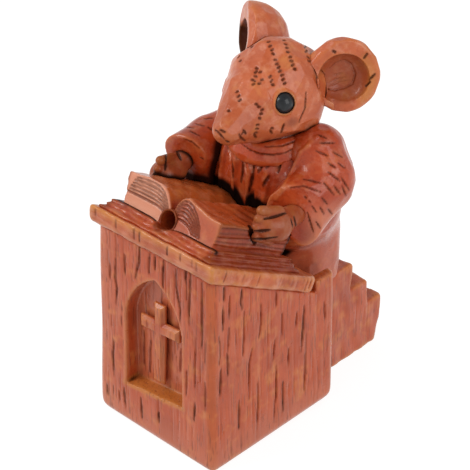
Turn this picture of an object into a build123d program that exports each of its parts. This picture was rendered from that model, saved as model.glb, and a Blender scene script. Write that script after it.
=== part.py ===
"""A cast-resin mouse in a robe, reading a thick book at a pulpit with a flight of steps behind it.

Millimetres. The origin is the middle of the pulpit's foot, on the surface that it stands on. +Z is up,
the front of the pulpit and the mouse's face look along -Y, and the mouse's own left is +X.
Every casting is a separate solid, and the castings are glued together on pegs, tenons and flat seats.
"""

import os
from math import cos, radians, sin, tan

from build123d import *

# Fits shared by all castings
glue_gap = 0.1
quarter_turn = 90

# Pulpit case
pulpit_width = 41.5
pulpit_depth = 46.5
pulpit_rim_height = 42.2
pulpit_rim_wall = 2.4
pulpit_edge_radius = 2.2
pulpit_foot_radius = 1.4
pocket_depth = 12.0

# Arched niche in the front of the pulpit, and the cross in it
niche_width = 21.0
niche_depth = 3.4
niche_sill_height = 11.6
niche_side_height = 23.0
niche_arch_rise = 15.6
niche_shift = -1.0
cross_thickness = 2.0
cross_height = 30.5
cross_span = 16.4
cross_bar = 3.8
cross_arm_drop = 6.6
cross_edge = 0.4

# Sloping desk board
desk_front_height = 66.5
desk_pitch = 28.0
desk_length = 44.2
desk_thickness = 4.6
desk_front_overhang = 2.0
desk_side_overhang = 1.2
desk_corner_radius = 2.0
desk_nosing = 1.1
desk_peg_radius = 1.8
desk_peg_length = 4.0
desk_peg_spacing = 18.0
desk_peg_setback = 16.0

# Steps behind the pulpit
stair_width = 23.0
platform_height = 31.5
platform_length = 18.3
middle_step_height = 22.5
middle_step_length = 7.3
bottom_step_height = 14.4
bottom_step_length = 5.2
stair_nosing = 1.2
stair_heel_radius = 3.0
tenon_width = 12.0
tenon_height = 8.0
tenon_length = 5.0
tenon_rise = 12.0

# Open book on the desk
book_setback = 5.6
cover_width = 37.0
cover_length = 31.0
cover_thickness = 2.2
cover_corner_radius = 0.9
spine_radius = 3.1
spine_bore_radius = 2.1
spine_bore_depth = 6.0
page_length = 29.4
page_width = 14.2
page_crown_height = 9.0
page_edge_height = 7.4
page_edge_slant = 1.4
page_crown_share = 0.34
page_gutter_share = 0.35
page_rise_shares = (0.32, 0.86)

# Robe: oval sections from the hem on the platform up to the neck (height, lean, width, depth)
robe_height = 48.7
robe_width = 34.0
robe_depth = 26.0
robe_lean = 7.0
robe_setback = 5.8
robe_section_shares = (
    (0.00, 0.00, 0.71, 0.95),
    (0.30, 0.10, 0.74, 0.98),
    (0.62, 0.85, 0.98, 1.00),
    (0.82, 0.95, 0.92, 0.94),
    (0.94, 1.00, 0.68, 0.80),
    (1.00, 1.00, 0.48, 0.60),
)
robe_peg_radius = 4.0
robe_peg_length = 3.0

# Head: oval sections from the back of the skull to the nose (along, width, height, drop)
head_length = 38.5
head_width = 26.0
head_height = 25.0
head_yaw = 8.0
head_pitch = 7.0
head_roll = 2.8
head_rise = 12.0
head_reach = 2.0
skull_share = 0.40
head_section_shares = (
    (0.00, 0.30, 0.30, 0.02),
    (0.06, 0.60, 0.60, 0.02),
    (0.16, 0.84, 0.84, 0.02),
    (0.36, 1.00, 1.02, 0.02),
    (0.50, 0.92, 0.98, 0.05),
    (0.64, 0.74, 0.78, 0.08),
    (0.78, 0.52, 0.54, 0.09),
    (0.90, 0.33, 0.34, 0.10),
    (0.97, 0.22, 0.23, 0.10),
    (1.00, 0.12, 0.13, 0.10),
)
neck_peg_radius = 4.5
neck_peg_length = 5.0

# Eyes: glossy beads set in the sides of the head
eye_radius = 3.1
eye_spread_share = 0.72
eye_forward_shares = {"left": 0.178, "right": 0.12}
eye_rise_share = 0.024

# Ears: deep round cups, each with a root that seats on the head (across, along, up) and a peg into it
ear_radius = 9.7
ear_bulge = 6.4
ear_stand = 1.4
ear_rim_radius = 1.5
ear_bowl_radius = 6.9
ear_bowl_depth = 4.4
ear_turn = 45.0
ear_lean = 12.0
ear_spread_share = 1.27
ear_back_share = 0.26
ear_rise_share = 0.092
ear_root_radius = 4.4
ear_root_share = 0.55
ear_seat_shares = (0.69, 0.156, 0.06)
ear_peg_radius = 1.4
ear_peg_length = 1.5

# Collar rolled round the neck, on a stub at the top of the robe
collar_stand = 1.0
collar_height = 5.6
collar_roll = 2.6
collar_drop = 4.0
neck_stub_wall = 2.0

# Sleeves: from the shoulder by the elbow to a hollow cuff, with a hanging point and a peg into the robe
shoulder_radius = 7.5
elbow_radii = {"left": 7.7, "right": 6.8}
cuff_radii = {"left": 6.4, "right": 5.8}
shoulder_drop = 6.4
shoulder_setback = 2.0
shoulder_spread_share = 0.81
elbow_spread = 2.6
elbow_reach_shares = {"left": 0.08, "right": 0.36}
elbow_drops = {"left": 3.8, "right": 0.0}
cuff_reach_share = 0.66
cuff_drops = {"left": 1.5, "right": 0.0}
cuff_wall = 1.4
cuff_hollow = 3.6
hang_spread = 1.0
hang_setback = 3.2
hang_drop = 7.4
hang_radius = 2.2
hang_root_share = 0.85
shoulder_peg_radius = 2.2
shoulder_peg_length = 6.0

# Paws over the fore edges of the book (down the slope, out from the page block, above the cover)
paw_radius = 4.8
paw_places = {"left": (26.5, 0.7, 7.8), "right": (22.0, 1.1, 9.2)}
finger_radius = 1.4
finger_length = 4.4
finger_pitch = 2.3
finger_stand = 0.9
finger_count = 4
wrist_radius = 3.2
wrist_root_share = 0.4

sides = {"left": 1, "right": -1}

# Places worked out from the sizes above
pulpit_front = -pulpit_depth / 2
pulpit_back = pulpit_depth / 2
desk_front = pulpit_front - desk_front_overhang
slope_cos = cos(radians(desk_pitch))
slope_sin = sin(radians(desk_pitch))

# The top face of the desk: local x is across, local y runs down the slope, local z stands off the board
desk_top = Plane((0, desk_front, desk_front_height), x_dir=(1, 0, 0), z_dir=(0, slope_sin, slope_cos))
desk_end = desk_front + desk_length * slope_cos + glue_gap


def under_desk(y):
    """Height of the board's underside above the floor at a given depth."""
    return desk_front_height - desk_thickness / slope_cos - (y - desk_front) * tan(radians(desk_pitch))


def on_frame(frame, place, turn=(0, 0, 0)):
    """A plane at a place in another plane's own axes, turned about those axes."""
    return Plane(frame.location * Location(place, turn))


# Desk board with two pegs under it
desk_pegs = desk_top.offset(-desk_thickness)
with BuildPart() as desk_board:
    with BuildSketch(on_frame(desk_top, (0, desk_length / 2, 0))):
        RectangleRounded(pulpit_width + 2 * desk_side_overhang, desk_length, desk_corner_radius)
    extrude(amount=-desk_thickness)
    fillet(desk_board.faces().sort_by(Axis.Z)[-1].edges(), desk_nosing)
    with BuildSketch(on_frame(desk_pegs, (0, desk_peg_setback, 0))):
        with GridLocations(desk_peg_spacing, 0, 2, 1):
            Circle(desk_peg_radius)
    extrude(amount=-desk_peg_length)
desk_board.part.label = "desk_board"

# Steps, with a tenon for the back of the pulpit
middle_step_end = pulpit_back + platform_length + middle_step_length
bottom_step_end = middle_step_end + bottom_step_length
with BuildPart() as stair_block:
    with BuildSketch(Plane.YZ):
        with BuildLine():
            Polyline(
                (pulpit_back, 0),
                (pulpit_back, platform_height),
                (pulpit_back + platform_length, platform_height),
                (pulpit_back + platform_length, middle_step_height),
                (middle_step_end, middle_step_height),
                (middle_step_end, bottom_step_height),
                (bottom_step_end, bottom_step_height),
                (bottom_step_end, 0),
                close=True,
            )
        make_face()
    extrude(amount=stair_width / 2, both=True)
    heel = stair_block.edges().filter_by(Axis.Z).group_by(Axis.Y)[-1]
    fillet(heel, stair_heel_radius)
    treads = stair_block.faces().filter_by(Axis.Z).sort_by(Axis.Z)[1:]
    noses = [tread.edges().filter_by(Axis.X).sort_by(Axis.Y)[-1] for tread in treads]
    fillet(noses, stair_nosing)
    with BuildSketch(Plane.XZ.offset(-pulpit_back)):
        with Locations((0, tenon_rise + tenon_height / 2)):
            Rectangle(tenon_width, tenon_height)
    extrude(amount=tenon_length)
    with BuildSketch(Plane((0, pulpit_back + robe_setback, platform_height))):
        Circle(robe_peg_radius + glue_gap)
    extrude(amount=-(robe_peg_length + glue_gap), mode=Mode.SUBTRACT)
stair_block.part.label = "stair_block"

# Pulpit case: a block with a sloping top, a pocket behind the desk, the niche and the sockets
with BuildPart() as pulpit_case:
    with BuildSketch(Plane.YZ):
        with BuildLine():
            Polyline(
                (pulpit_front, 0),
                (pulpit_front, under_desk(pulpit_front)),
                (desk_end, under_desk(desk_end)),
                (desk_end, pulpit_rim_height),
                (pulpit_back, pulpit_rim_height),
                (pulpit_back, 0),
                close=True,
            )
        make_face()
    extrude(amount=pulpit_width / 2, both=True)
    corners = pulpit_case.edges().filter_by(Axis.Z).group_by(Axis.Y)
    fillet(corners[0] + corners[-1], pulpit_edge_radius)
    fillet(pulpit_case.faces().sort_by(Axis.Z)[0].edges(), pulpit_foot_radius)
    with BuildSketch(Plane.XY.offset(platform_height)):
        with Locations((0, pulpit_back)):
            Rectangle(pulpit_width - 2 * pulpit_rim_wall, 2 * pocket_depth)
    extrude(amount=desk_front_height, mode=Mode.SUBTRACT)
    with BuildSketch(Plane.XZ.offset(-pulpit_front)):
        with BuildLine():
            left_side = niche_shift - niche_width / 2
            right_side = niche_shift + niche_width / 2
            spring = niche_sill_height + niche_side_height
            apex = spring + niche_arch_rise
            Line((left_side, niche_sill_height), (left_side, spring))
            TangentArc((left_side, spring), (niche_shift, apex), tangent=(0, 1))
            TangentArc((right_side, spring), (niche_shift, apex), tangent=(0, 1))
            Line((right_side, spring), (right_side, niche_sill_height))
            Line((right_side, niche_sill_height), (left_side, niche_sill_height))
        make_face()
    extrude(amount=-niche_depth, mode=Mode.SUBTRACT)
    with BuildSketch(on_frame(desk_pegs, (0, desk_peg_setback, 0))):
        with GridLocations(desk_peg_spacing, 0, 2, 1):
            Circle(desk_peg_radius + glue_gap)
    extrude(amount=-(desk_peg_length + glue_gap), mode=Mode.SUBTRACT)
    with BuildSketch(Plane.XZ.offset(-pulpit_back)):
        with Locations((0, tenon_rise + tenon_height / 2)):
            Rectangle(tenon_width + 2 * glue_gap, tenon_height + 2 * glue_gap)
    extrude(amount=tenon_length + glue_gap, mode=Mode.SUBTRACT)
pulpit_case.part.label = "pulpit_case"

# Cross standing on the niche's sill, against its back
with BuildPart() as niche_cross:
    with BuildSketch(Plane.XZ.offset(-pulpit_front - niche_depth)):
        with Locations((niche_shift, niche_sill_height + cross_height / 2)):
            Rectangle(cross_bar, cross_height)
        with Locations((niche_shift, niche_sill_height + cross_height - cross_arm_drop)):
            Rectangle(cross_span, cross_bar)
    extrude(amount=cross_thickness)
    chamfer(niche_cross.faces().sort_by(Axis.Y)[0].edges(), cross_edge)
niche_cross.part.label = "niche_cross"

# Book cover: one board with the hollow spine along its middle
book_head = on_frame(desk_top, (0, book_setback, 0), (quarter_turn, 0, 0))
spine_height = cover_thickness + spine_bore_radius
with BuildPart() as book_cover:
    with BuildSketch(on_frame(desk_top, (0, book_setback + cover_length / 2, 0))):
        RectangleRounded(cover_width, cover_length, cover_corner_radius)
    extrude(amount=cover_thickness)
    with BuildSketch(book_head):
        with Locations((0, spine_height)):
            Circle(spine_radius)
        Rectangle(2 * spine_radius, spine_height, align=(Align.CENTER, Align.MIN))
    extrude(amount=-cover_length)
    with BuildSketch(book_head):
        with Locations((0, spine_height)):
            Circle(spine_bore_radius)
    extrude(amount=-spine_bore_depth, mode=Mode.SUBTRACT)
book_cover.part.label = "book_cover"

# Page blocks: a gutter wall, a rounded crown, a falling top page and a slanting fore edge
page_inset = (cover_length - page_length) / 2
page_head = on_frame(desk_top, (0, book_setback + page_inset, cover_thickness), (quarter_turn, 0, 0))
page_blocks = {}
for name, side in sides.items():
    gutter = spine_radius + glue_gap
    crown = gutter + page_width * page_crown_share
    edge = gutter + page_width - page_edge_slant
    rise_out_share, rise_up_share = page_rise_shares
    rise = gutter + page_width * page_crown_share * rise_out_share
    with BuildPart() as page_block:
        with BuildSketch(page_head):
            with BuildLine():
                Line((side * gutter, 0), (side * gutter, page_crown_height * page_gutter_share))
                ThreePointArc(
                    (side * gutter, page_crown_height * page_gutter_share),
                    (side * rise, page_crown_height * rise_up_share),
                    (side * crown, page_crown_height),
                )
                Spline(
                    (side * crown, page_crown_height),
                    (side * edge, page_edge_height),
                    tangents=[(side, 0), (side * page_width, page_edge_height - page_crown_height)],
                )
                Line((side * edge, page_edge_height), (side * (gutter + page_width), 0))
                Line((side * (gutter + page_width), 0), (side * gutter, 0))
            make_face()
        extrude(amount=-page_length)
    page_block.part.label = name + "_page_block"
    page_blocks[name] = page_block

# The mouse's own axes: the neck on the robe's top, the head's tilted frame, the eyes and the ears
robe_foot = pulpit_back + robe_setback
neck = Vector(0, robe_foot - robe_lean, platform_height + robe_height)
head_frame = Plane(Location(neck + Vector(0, -head_reach, head_rise), (head_pitch, -head_roll, head_yaw)))
skull = head_length * skull_share
eye_frames = {}
ear_frames = {}
ear_roots = {}
for name, side in sides.items():
    eye_frames[name] = on_frame(
        head_frame,
        (
            side * head_width / 2 * eye_spread_share,
            -head_length * eye_forward_shares[name],
            head_height * eye_rise_share,
        ),
        (0, 0, quarter_turn + side * quarter_turn),
    )
    ear_middle = on_frame(
        head_frame,
        (
            side * head_width / 2 * ear_spread_share,
            head_length * ear_back_share,
            head_height * ear_rise_share,
        ),
        (0, 0, -side * ear_turn),
    )
    ear_frame = on_frame(ear_middle, (0, 0, 0), (0, side * (quarter_turn - ear_lean), 0))
    across_share, along_share, up_share = ear_seat_shares
    seat_place = (side * head_width / 2 * across_share, head_length * along_share, head_height * up_share)
    ear_seat = on_frame(head_frame, seat_place).origin
    ear_back = on_frame(ear_frame, (0, 0, -ear_bulge * ear_root_share)).origin
    ear_frames[name] = ear_frame
    ear_roots[name] = (Plane(ear_back, z_dir=ear_seat - ear_back), (ear_seat - ear_back).length)

# The head's outer form: skull and snout in one, which the ears, robe, collar and sleeves lie against
with BuildPart() as head_form:
    for along_share, width_share, height_share, drop_share in head_section_shares:
        place = (0, skull - head_length * along_share, -head_height * drop_share)
        section = on_frame(head_frame, place, (quarter_turn, 0, 0))
        with BuildSketch(section):
            Ellipse(head_height / 2 * height_share, head_width / 2 * width_share, rotation=quarter_turn)
    loft()

# Head: a peg below it, and sockets for the eyes and ears
with BuildPart() as head:
    add(head_form.part)
    with BuildSketch(Plane(neck).offset(-neck_peg_length)):
        Circle(neck_peg_radius)
    extrude(amount=neck_peg_length + head_rise)
    for name in sides:
        with Locations(eye_frames[name].location):
            Sphere(eye_radius + glue_gap, mode=Mode.SUBTRACT)
        root_plane, root_length = ear_roots[name]
        with BuildSketch(root_plane):
            Circle(ear_peg_radius + glue_gap)
        extrude(amount=root_length + ear_peg_length + glue_gap, mode=Mode.SUBTRACT)
head.part.label = "head"

# Eyes
eyes = {}
for name in sides:
    with BuildPart() as eye:
        with Locations(eye_frames[name].location):
            Sphere(eye_radius)
    eye.part.label = name + "_eye"
    eyes[name] = eye

# Ears: a cup turned about its own axis, with a bowl in its face and a root cut to the side of the head
bowl_ball_radius = (ear_bowl_radius**2 + ear_bowl_depth**2) / (2 * ear_bowl_depth)
bowl_ball_rise = ear_stand - ear_bowl_depth + bowl_ball_radius
ears = {}
for name in sides:
    ear_frame = ear_frames[name]
    root_plane, root_length = ear_roots[name]
    with BuildPart() as ear:
        with BuildSketch(Plane(ear_frame.origin, x_dir=ear_frame.y_dir, z_dir=ear_frame.x_dir)):
            with BuildLine():
                Line((0, -ear_bulge), (0, ear_stand))
                Line((0, ear_stand), (ear_radius - ear_rim_radius, ear_stand))
                RadiusArc(
                    (ear_radius - ear_rim_radius, ear_stand),
                    (ear_radius, ear_stand - ear_rim_radius),
                    ear_rim_radius,
                )
                Spline(
                    (ear_radius, ear_stand - ear_rim_radius),
                    (0, -ear_bulge),
                    tangents=[(0, -1), (-1, 0)],
                )
            make_face()
        revolve(axis=Axis(ear_frame.origin, ear_frame.z_dir))
        with BuildSketch(root_plane):
            Circle(ear_root_radius)
        extrude(amount=root_length)
        with Locations(on_frame(ear_frame, (0, 0, bowl_ball_rise)).location):
            Sphere(bowl_ball_radius, mode=Mode.SUBTRACT)
        add(head_form.part, mode=Mode.SUBTRACT)
        with BuildSketch(root_plane):
            Circle(ear_peg_radius)
        extrude(amount=root_length + ear_peg_length)
    ear.part.label = name + "_ear"
    ears[name] = ear

# Arms: the shoulder on the robe, the paw on the book's fore edge, the elbow and cuff between them
arms = {}
for name, side in sides.items():
    down_slope, out, up = paw_places[name]
    shoulder_spread = side * robe_width / 2 * shoulder_spread_share
    shoulder = neck + Vector(shoulder_spread, shoulder_setback, -shoulder_drop)
    paw_frame = on_frame(
        desk_top, (side * (spine_radius + page_width + out), down_slope, cover_thickness + up)
    )
    paw_place = paw_frame.origin
    elbow_bend = Vector(side * elbow_spread, 0, -elbow_drops[name])
    elbow = shoulder + (paw_place - shoulder) * elbow_reach_shares[name] + elbow_bend
    cuff = elbow + (paw_place - elbow) * cuff_reach_share - Vector(0, 0, cuff_drops[name])
    wrist_root = elbow + (cuff - elbow) * wrist_root_share
    arms[name] = (shoulder, elbow, cuff, wrist_root, paw_frame)

# The robe's outer form, which the collar and the sleeves lie against
with BuildPart() as robe_form:
    for height_share, lean_share, width_share, depth_share in robe_section_shares:
        place = (0, robe_foot - robe_lean * lean_share, platform_height + robe_height * height_share)
        with BuildSketch(Plane(place)):
            Ellipse(robe_depth / 2 * depth_share, robe_width / 2 * width_share, rotation=quarter_turn)
    loft()

# Robe: stands on the platform with a peg into it, with a stub for the collar and sockets for the pegs
collar_seat = Plane(neck - Vector(0, 0, collar_drop))
neck_stub_radius = neck_peg_radius + glue_gap + neck_stub_wall
with BuildPart() as robe:
    add(robe_form.part)
    with BuildSketch(collar_seat):
        Ellipse(robe_depth, robe_width, rotation=quarter_turn)
        Circle(neck_stub_radius, mode=Mode.SUBTRACT)
    extrude(amount=robe_height, mode=Mode.SUBTRACT)
    for neighbour in (head_form, desk_board, book_cover, *page_blocks.values()):
        add(neighbour.part, mode=Mode.SUBTRACT)
    with BuildSketch(Plane(neck).offset(-neck_peg_length - glue_gap)):
        Circle(neck_peg_radius + glue_gap)
    extrude(amount=neck_peg_length + glue_gap, mode=Mode.SUBTRACT)
    for name, side in sides.items():
        shoulder = arms[name][0]
        with BuildSketch(Plane(shoulder, z_dir=(-side, 0, 0))):
            Circle(shoulder_peg_radius + glue_gap)
        extrude(amount=shoulder_peg_length + glue_gap, mode=Mode.SUBTRACT)
    with BuildSketch(Plane((0, robe_foot, platform_height))):
        Circle(robe_peg_radius)
    extrude(amount=-robe_peg_length)
robe.part.label = "robe"

# Collar: a soft roll round the robe's stub, lying on its shoulders and under the jaw
neck_height_share, neck_lean_share, neck_width_share, neck_depth_share = robe_section_shares[-2]
collar_half_width = robe_width / 2 * neck_width_share + collar_stand
collar_half_depth = robe_depth / 2 * neck_depth_share + collar_stand
with BuildPart() as collar_form:
    with BuildSketch(collar_seat):
        Ellipse(collar_half_depth, collar_half_width, rotation=quarter_turn)
    extrude(amount=collar_height)
    rims = collar_form.faces().filter_by(Axis.Z).edges()
    fillet(rims, collar_roll)

with BuildPart() as collar:
    add(collar_form.part)
    with BuildSketch(collar_seat):
        Circle(neck_stub_radius + glue_gap)
    extrude(amount=collar_height, mode=Mode.SUBTRACT)
    add(head_form.part, mode=Mode.SUBTRACT)
collar.part.label = "collar"

# The sleeves' outer forms: tapering lengths with a round shoulder and elbow, and a hanging point
sleeve_forms = {}
for name, side in sides.items():
    shoulder, elbow, cuff, wrist_root, paw_frame = arms[name]
    elbow_radius = elbow_radii[name]
    hang = cuff + Vector(side * hang_spread, hang_setback, -hang_drop)
    with BuildPart() as sleeve_form:
        for start, end, start_radius, end_radius in (
            (shoulder, elbow, shoulder_radius, elbow_radius),
            (elbow, hang, elbow_radius * hang_root_share, hang_radius),
            (elbow, cuff, elbow_radius, cuff_radii[name]),
        ):
            with BuildSketch(Plane(start, z_dir=end - start)):
                Circle(start_radius)
            with BuildSketch(Plane(end, z_dir=end - start)):
                Circle(end_radius)
            loft()
            with Locations(start):
                Sphere(start_radius)
        with Locations(hang):
            Sphere(hang_radius)
    sleeve_forms[name] = sleeve_form

# Sleeves: cut to lie against the robe, the collar and the book, with a peg and a socket for the wrist
sleeves = {}
for name, side in sides.items():
    shoulder, elbow, cuff, wrist_root, paw_frame = arms[name]
    wrist = paw_frame.origin - wrist_root
    with BuildPart() as sleeve:
        add(sleeve_forms[name].part)
        for neighbour in (robe_form, head_form, collar_form, desk_board, book_cover, page_blocks[name]):
            add(neighbour.part, mode=Mode.SUBTRACT)
        with BuildSketch(Plane(shoulder, z_dir=(-side, 0, 0))):
            Circle(shoulder_peg_radius)
        extrude(amount=shoulder_peg_length)
        with BuildSketch(Plane(cuff, z_dir=elbow - cuff)):
            Circle(cuff_radii[name] - cuff_wall)
        extrude(amount=cuff_hollow, mode=Mode.SUBTRACT)
        with BuildSketch(Plane(wrist_root, z_dir=wrist)):
            Circle(wrist_radius + glue_gap)
        extrude(amount=wrist.length, mode=Mode.SUBTRACT)
    sleeve.part.label = name + "_sleeve"
    sleeves[name] = sleeve

# Paws: a fist on the fore edge, its fingers stacked up it and pointing up the slope, and a wrist
paws = {}
for name, side in sides.items():
    shoulder, elbow, cuff, wrist_root, paw_frame = arms[name]
    wrist = paw_frame.origin - wrist_root
    with BuildPart() as paw:
        with Locations(on_frame(paw_frame, (0, 0, 0), (0, 0, quarter_turn - side * quarter_turn)).location):
            Sphere(paw_radius)
        for finger in range(finger_count):
            up = (finger - (finger_count - 1) / 2) * finger_pitch
            knuckle = on_frame(paw_frame, (side * finger_stand, 0, up))
            with BuildSketch(knuckle):
                with BuildLine():
                    Line((0, finger_radius), (0, -finger_length - finger_radius))
                    RadiusArc(
                        (0, -finger_length - finger_radius),
                        (side * finger_radius, -finger_length),
                        -side * finger_radius,
                    )
                    Line((side * finger_radius, -finger_length), (side * finger_radius, 0))
                    RadiusArc((side * finger_radius, 0), (0, finger_radius), -side * finger_radius)
                make_face()
            revolve(axis=Axis(knuckle.origin, knuckle.y_dir))
        for neighbour in (sleeve_forms[name], book_cover, page_blocks[name]):
            add(neighbour.part, mode=Mode.SUBTRACT)
        with BuildSketch(Plane(wrist_root, z_dir=wrist).offset(glue_gap)):
            Circle(wrist_radius)
        extrude(amount=wrist.length - glue_gap)
        for neighbour in (robe_form, page_blocks[name]):
            add(neighbour.part, mode=Mode.SUBTRACT)
    paw.part.label = name + "_paw"
    paws[name] = paw

os.makedirs("parts", exist_ok=True)
for piece in (
    pulpit_case,
    desk_board,
    stair_block,
    niche_cross,
    book_cover,
    *page_blocks.values(),
    robe,
    collar,
    *sleeves.values(),
    *paws.values(),
    head,
    *eyes.values(),
    *ears.values(),
):
    export_step(piece.part, f"parts/{piece.part.label}.step")
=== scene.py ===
import math

import bpy
import numpy as np
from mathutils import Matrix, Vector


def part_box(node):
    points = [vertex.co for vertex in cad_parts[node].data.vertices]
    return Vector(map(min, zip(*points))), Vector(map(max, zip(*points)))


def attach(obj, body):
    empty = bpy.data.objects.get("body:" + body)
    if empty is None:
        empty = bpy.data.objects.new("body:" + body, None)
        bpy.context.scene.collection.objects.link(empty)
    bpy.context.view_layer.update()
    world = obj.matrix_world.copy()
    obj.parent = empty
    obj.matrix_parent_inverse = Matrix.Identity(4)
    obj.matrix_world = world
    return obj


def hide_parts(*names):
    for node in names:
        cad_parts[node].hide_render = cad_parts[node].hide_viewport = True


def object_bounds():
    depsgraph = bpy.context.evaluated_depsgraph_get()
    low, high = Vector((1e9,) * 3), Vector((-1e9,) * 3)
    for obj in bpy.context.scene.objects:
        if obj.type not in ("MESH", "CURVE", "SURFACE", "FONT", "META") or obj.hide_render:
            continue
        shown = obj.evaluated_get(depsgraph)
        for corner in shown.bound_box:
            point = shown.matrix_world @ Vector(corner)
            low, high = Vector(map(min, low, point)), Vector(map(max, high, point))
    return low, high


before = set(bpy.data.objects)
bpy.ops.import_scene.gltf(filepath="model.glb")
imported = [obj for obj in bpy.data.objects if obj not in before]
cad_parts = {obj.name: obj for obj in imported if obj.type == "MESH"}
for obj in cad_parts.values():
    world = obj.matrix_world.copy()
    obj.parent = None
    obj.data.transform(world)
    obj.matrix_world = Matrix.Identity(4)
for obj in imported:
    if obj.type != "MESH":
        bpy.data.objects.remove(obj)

import openvdb
from mathutils import Matrix

cad_low, cad_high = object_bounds()

# The viewpoint of a small product photo: a long lens from the front and the mouse's left, looking down.
# The ornament stands on a pale table in soft white light. Lengths are in millimetres, scaled for Blender.
MM = 0.001
image_side = 470
view_turn = math.radians(44.496)
view_drop = math.radians(31.603)
view_distance = 571.093
focal_pixels = 2153.032
film_width = 36.0
aim_across = 4.486
aim_height = 54.481
view_right = np.array([math.cos(view_turn), math.sin(view_turn), 0.0])
view_back = np.array(
    [
        math.sin(view_turn) * math.cos(view_drop),
        -math.cos(view_turn) * math.cos(view_drop),
        math.sin(view_drop),
    ]
)
view_up = np.cross(view_back, view_right)
view_place = view_right * aim_across + np.array([0.0, 0.0, aim_height]) + view_back * view_distance

camera_data = bpy.data.cameras.new("camera")
camera_data.sensor_width = film_width
camera_data.lens = film_width * focal_pixels / image_side
camera = bpy.data.objects.new("camera", camera_data)
bpy.context.scene.collection.objects.link(camera)
camera.matrix_world = Matrix(
    [[view_right[i], view_up[i], view_back[i], view_place[i] * MM] for i in range(3)] + [[0, 0, 0, 1]]
)
bpy.context.scene.camera = camera
bpy.context.scene.view_settings.view_transform = "Standard"

# Pulpit case: a polyresin casting with a sloping top, an arched niche and a pocket behind the desk.
# Its master was cut like a block of coarse wood, and brown stain was wiped on and left in the cuts.
pulpit_low, pulpit_high = (np.array(corner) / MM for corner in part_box("pulpit_case"))
pulpit_half_width = pulpit_high[0]
pulpit_front = pulpit_low[1]
pulpit_back = pulpit_high[1]
pulpit_edge = 2.2
pulpit_draft = 0.04
pulpit_swell = 0.026
draft_height = 60.0
crack_radius = 0.34
vein_radius = 0.3
foot_corner_cut = 0.7
foot_side_cut = 0.7
foot_back_cut = 1.2
foot_lines = (((114, 409.5), (204, 467.0)), ((222, 466.5), (321, 399.5)))
rim_height = 42.2
rim_wall = 2.4
pocket_depth = 12.0
pocket_floor = 31.5
desk_pitch = math.radians(28.0)
desk_front = -25.25
desk_front_height = 66.5
desk_length = 46.4
desk_thickness = 4.6
desk_sink = 0.7
niche_shift = -0.2
niche_width = 21.4
niche_depth = 3.4
niche_sill = 14.9
niche_sill_tilt = 0.11
niche_sill_slope = 0.05
niche_spring = 34.6
niche_rise = 16.6
niche_lean = 0.05


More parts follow.
